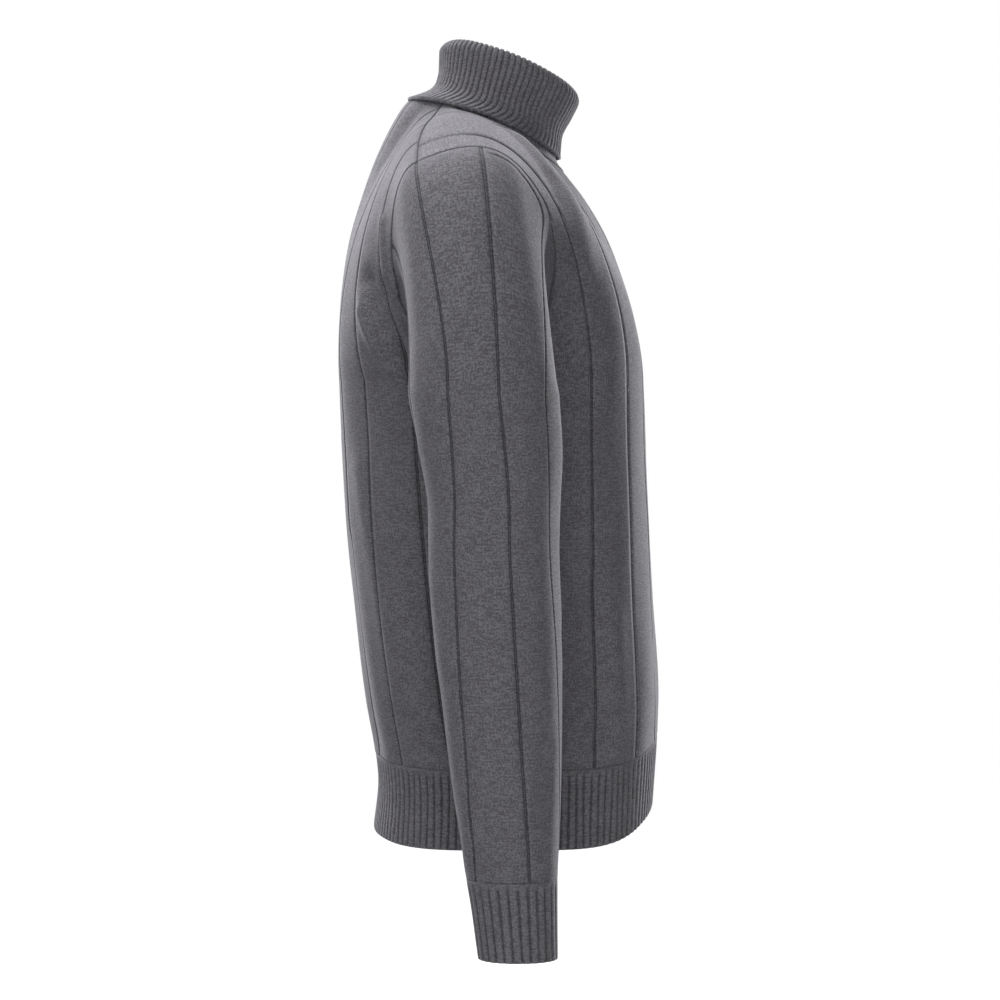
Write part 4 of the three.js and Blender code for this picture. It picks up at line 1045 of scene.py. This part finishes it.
def collar_piece(name):
    count = COLLAR_RIBS * RIB_STEPS
    turns = -180 + (np.arange(count) + RIB_STEPS) * 360 / count
    turns = np.where(turns > 180, turns - 360, turns)
    seam, rise, normal = neck_seam(turns)
    rows = []
    for up in (HALF_GAP, 1.7, 3.3, COLLAR_FOOT):
        rows.append(seam + rise * up - normal * KNIT_WALL)
    foot = rows[-1]
    start = tilted_ring(turns, **{n: COLLAR_RINGS[n][0] for n in NECK})
    for t in (0.25, 0.5, 0.75):
        rows.append(foot + (start - foot) * t)
    steps = spaced([0, 2, 4, 7.3, 8.0], 0.16)
    behind = (1 - np.cos(np.radians(turns))) / 2
    for step in steps:
        ring = {n: read(COLLAR_RINGS, n, step) for n in NECK}
        points = tilted_ring(turns, **ring)
        points[:, 2] -= COLLAR_SAG * smooth_step(6.2, 8, step) * smooth_step(0.3, 1, behind)
        rows.append(points)
    rows = np.stack(rows)
    steps = np.linalg.norm(np.diff(rows, axis=0), axis=-1)
    run = np.cumsum(np.concatenate([np.zeros((1, count)), steps]), axis=0)
    turn, left = turns[None, :], run[-1:] - run
    fade = np.clip(run / 40, 0, 1) * np.clip(left / 8, 0, 1)
    uneven = COLLAR_SOFT * softness(turn * 1.1, run, COLLAR_SEED) * fade
    points = rows + grid_normals(rows, True, -1) * uneven[..., None]
    wander = 0.05 * np.sin(run / 17 + turn / 31) * np.clip(run / 30, 0, 1)
    fields = {
        "across": turn / 360 * COLLAR_RIBS * COLLAR_RIB_WIDTH + 0 * run, "up": run,
        "round": COLLAR_RIBS * COLLAR_RIB_WIDTH, "rib": turn / 360 * COLLAR_RIBS + wander,
        "rib_depth": RIB_DEPTH * smooth_step(9, 18, run) * (0.4 + 0.6 * smooth_step(0, 2.5, left)),
        "seam": seam_sink(run) * 0.2,
    }
    return grid_mesh(name, points, fields, closed=True, flip=True)


# The pieces
plain = (PLAIN_KNIT, "plain_knit", KNIT_WALL)
rib = (RIB_KNIT_PAINTED_LIGHTER, "rib_knit", RIB_WALL)
collar = (COLLAR_KNIT_PAINTED_LIGHTER, "rib_knit", RIB_WALL)
finish_cloth(panel_piece("front_panel_knit", FRONT), "front_panel", *plain, (0.51, 0.66), 0.29)
finish_cloth(panel_piece("back_panel_knit", BACK), "back_panel", *plain, (0.535, 0.64), 0.275)
finish_cloth(hem_piece("front_hem_rib_knit", FRONT), "front_hem_rib", *rib, (0.5, 0.07), None)
finish_cloth(hem_piece("back_hem_rib_knit", BACK), "back_hem_rib", *rib, (0.47, 0.07), None)
for word, side in (("right", -1), ("left", 1)):
    finish_cloth(sleeve_piece(f"{word}_sleeve_knit", side), f"{word}_sleeve", *plain, (0.39, 0.6), 0.19)
    finish_cloth(cuff_piece(f"{word}_cuff_knit", side), f"{word}_cuff", *rib, (0.225, 0.067), None)
finish_cloth(collar_piece("turtleneck_collar_knit"), "turtleneck_collar", *collar, (0.43, 0.13), None)

# Linking stitches along the seams
neck_turns = np.arange(-180, 180, 2.5)
seam_points, seam_rise, seam_normal = neck_seam(neck_turns)
seam_rows("neck_linking", seam_points - seam_normal * 0.2, closed=True)
for word, side in (("right", -1), ("left", 1)):
    mirror = np.array([side, 1, 1])
    shoulder = shoulder_seam(np.linspace(0.02, 0.985, 40)) + np.array([0, 0, -0.3])
    seam_rows(f"{word}_shoulder_linking", shoulder * mirror)
    seam_rows(f"{word}_armhole_linking", ARM_POINT * mirror, closed=True)

# Floor, light and camera. Floor and surroundings look white but light the sweater only a little
bpy.ops.mesh.primitive_plane_add(size=14, location=(0, 0, -1.45))
floor = bpy.context.object
floor.name = "floor"
pale, w = empty_material("Pale floor")
seen = w.add("ShaderNodeLightPath").outputs["Is Camera Ray"]
paint = w.mix(seen, (0.12, 0.12, 0.12, 1), (0.85, 0.85, 0.85, 1))
matt = w.add("ShaderNodeBsdfPrincipled", {
    "Base Color": paint, "Roughness": 0.95, "Emission Color": (1, 1, 1, 1), "Emission Strength": seen,
})
w.tree.links.new(matt.outputs[0], w.add("ShaderNodeOutputMaterial").inputs[0])
floor.data.materials.append(pale)


def soft_light(name, place, aim, size, watts):
    """A soft box at a place in metres, facing another place."""
    light = bpy.data.lights.new(name, "AREA")
    light.shape, light.size, light.size_y, light.energy = "RECTANGLE", size[0], size[1], watts
    lamp = bpy.data.objects.new(name, light)
    lamp.location = place
    towards = Vector(aim) - Vector(place)
    lamp.rotation_euler = towards.to_track_quat("-Z", "Y").to_euler()
    bpy.context.collection.objects.link(lamp)


soft_light("top_light", (0.9, 0.6, 2.25), (0, 0, -0.3), (2.2, 2.2), 152)
soft_light("back_top_light", (-0.8, 2.4, 1.7), (0, 0.05, -0.1), (1.2, 1.2), 16)
soft_light("front_rim_light", (2.7, -2.0, -0.2), (0, 0, -0.45), (1.0, 2.0), 172)
soft_light("back_rim_light", (3.0, 1.5, 0.1), (0, 0, -0.4), (1.0, 2.0), 88)
soft_light("side_fill_light", (-3.2, 0, -0.9), (0, 0, -0.5), (3.2, 3.0), 94)

world = bpy.data.worlds.new("Studio")
world.use_nodes = True
bpy.context.scene.world = world
world.node_tree.nodes.clear()
w = Wires(world.node_tree)
seen = w.add("ShaderNodeLightPath").outputs["Is Camera Ray"]
fill = w.add("ShaderNodeBackground", {"Color": (0.97, 0.98, 1.0, 1), "Strength": 0.06})
wall = w.add("ShaderNodeBackground", {"Color": (1, 1, 1, 1), "Strength": 1.0})
mixed = w.add("ShaderNodeMixShader", {0: seen, 1: fill.outputs[0], 2: wall.outputs[0]})
w.tree.links.new(mixed.outputs[0], w.add("ShaderNodeOutputWorld").inputs[0])

camera = bpy.data.objects.new("camera", bpy.data.cameras.new("camera"))
camera.data.lens = 101.7
camera.data.sensor_width = 36
camera.data.clip_end = 50
camera.location = (-2.6, 0, -0.355)
camera.rotation_euler = (math.pi / 2, 0, -math.pi / 2)
bpy.context.collection.objects.link(camera)
bpy.context.scene.camera = camera
bpy.context.scene.view_settings.view_transform = "Standard"
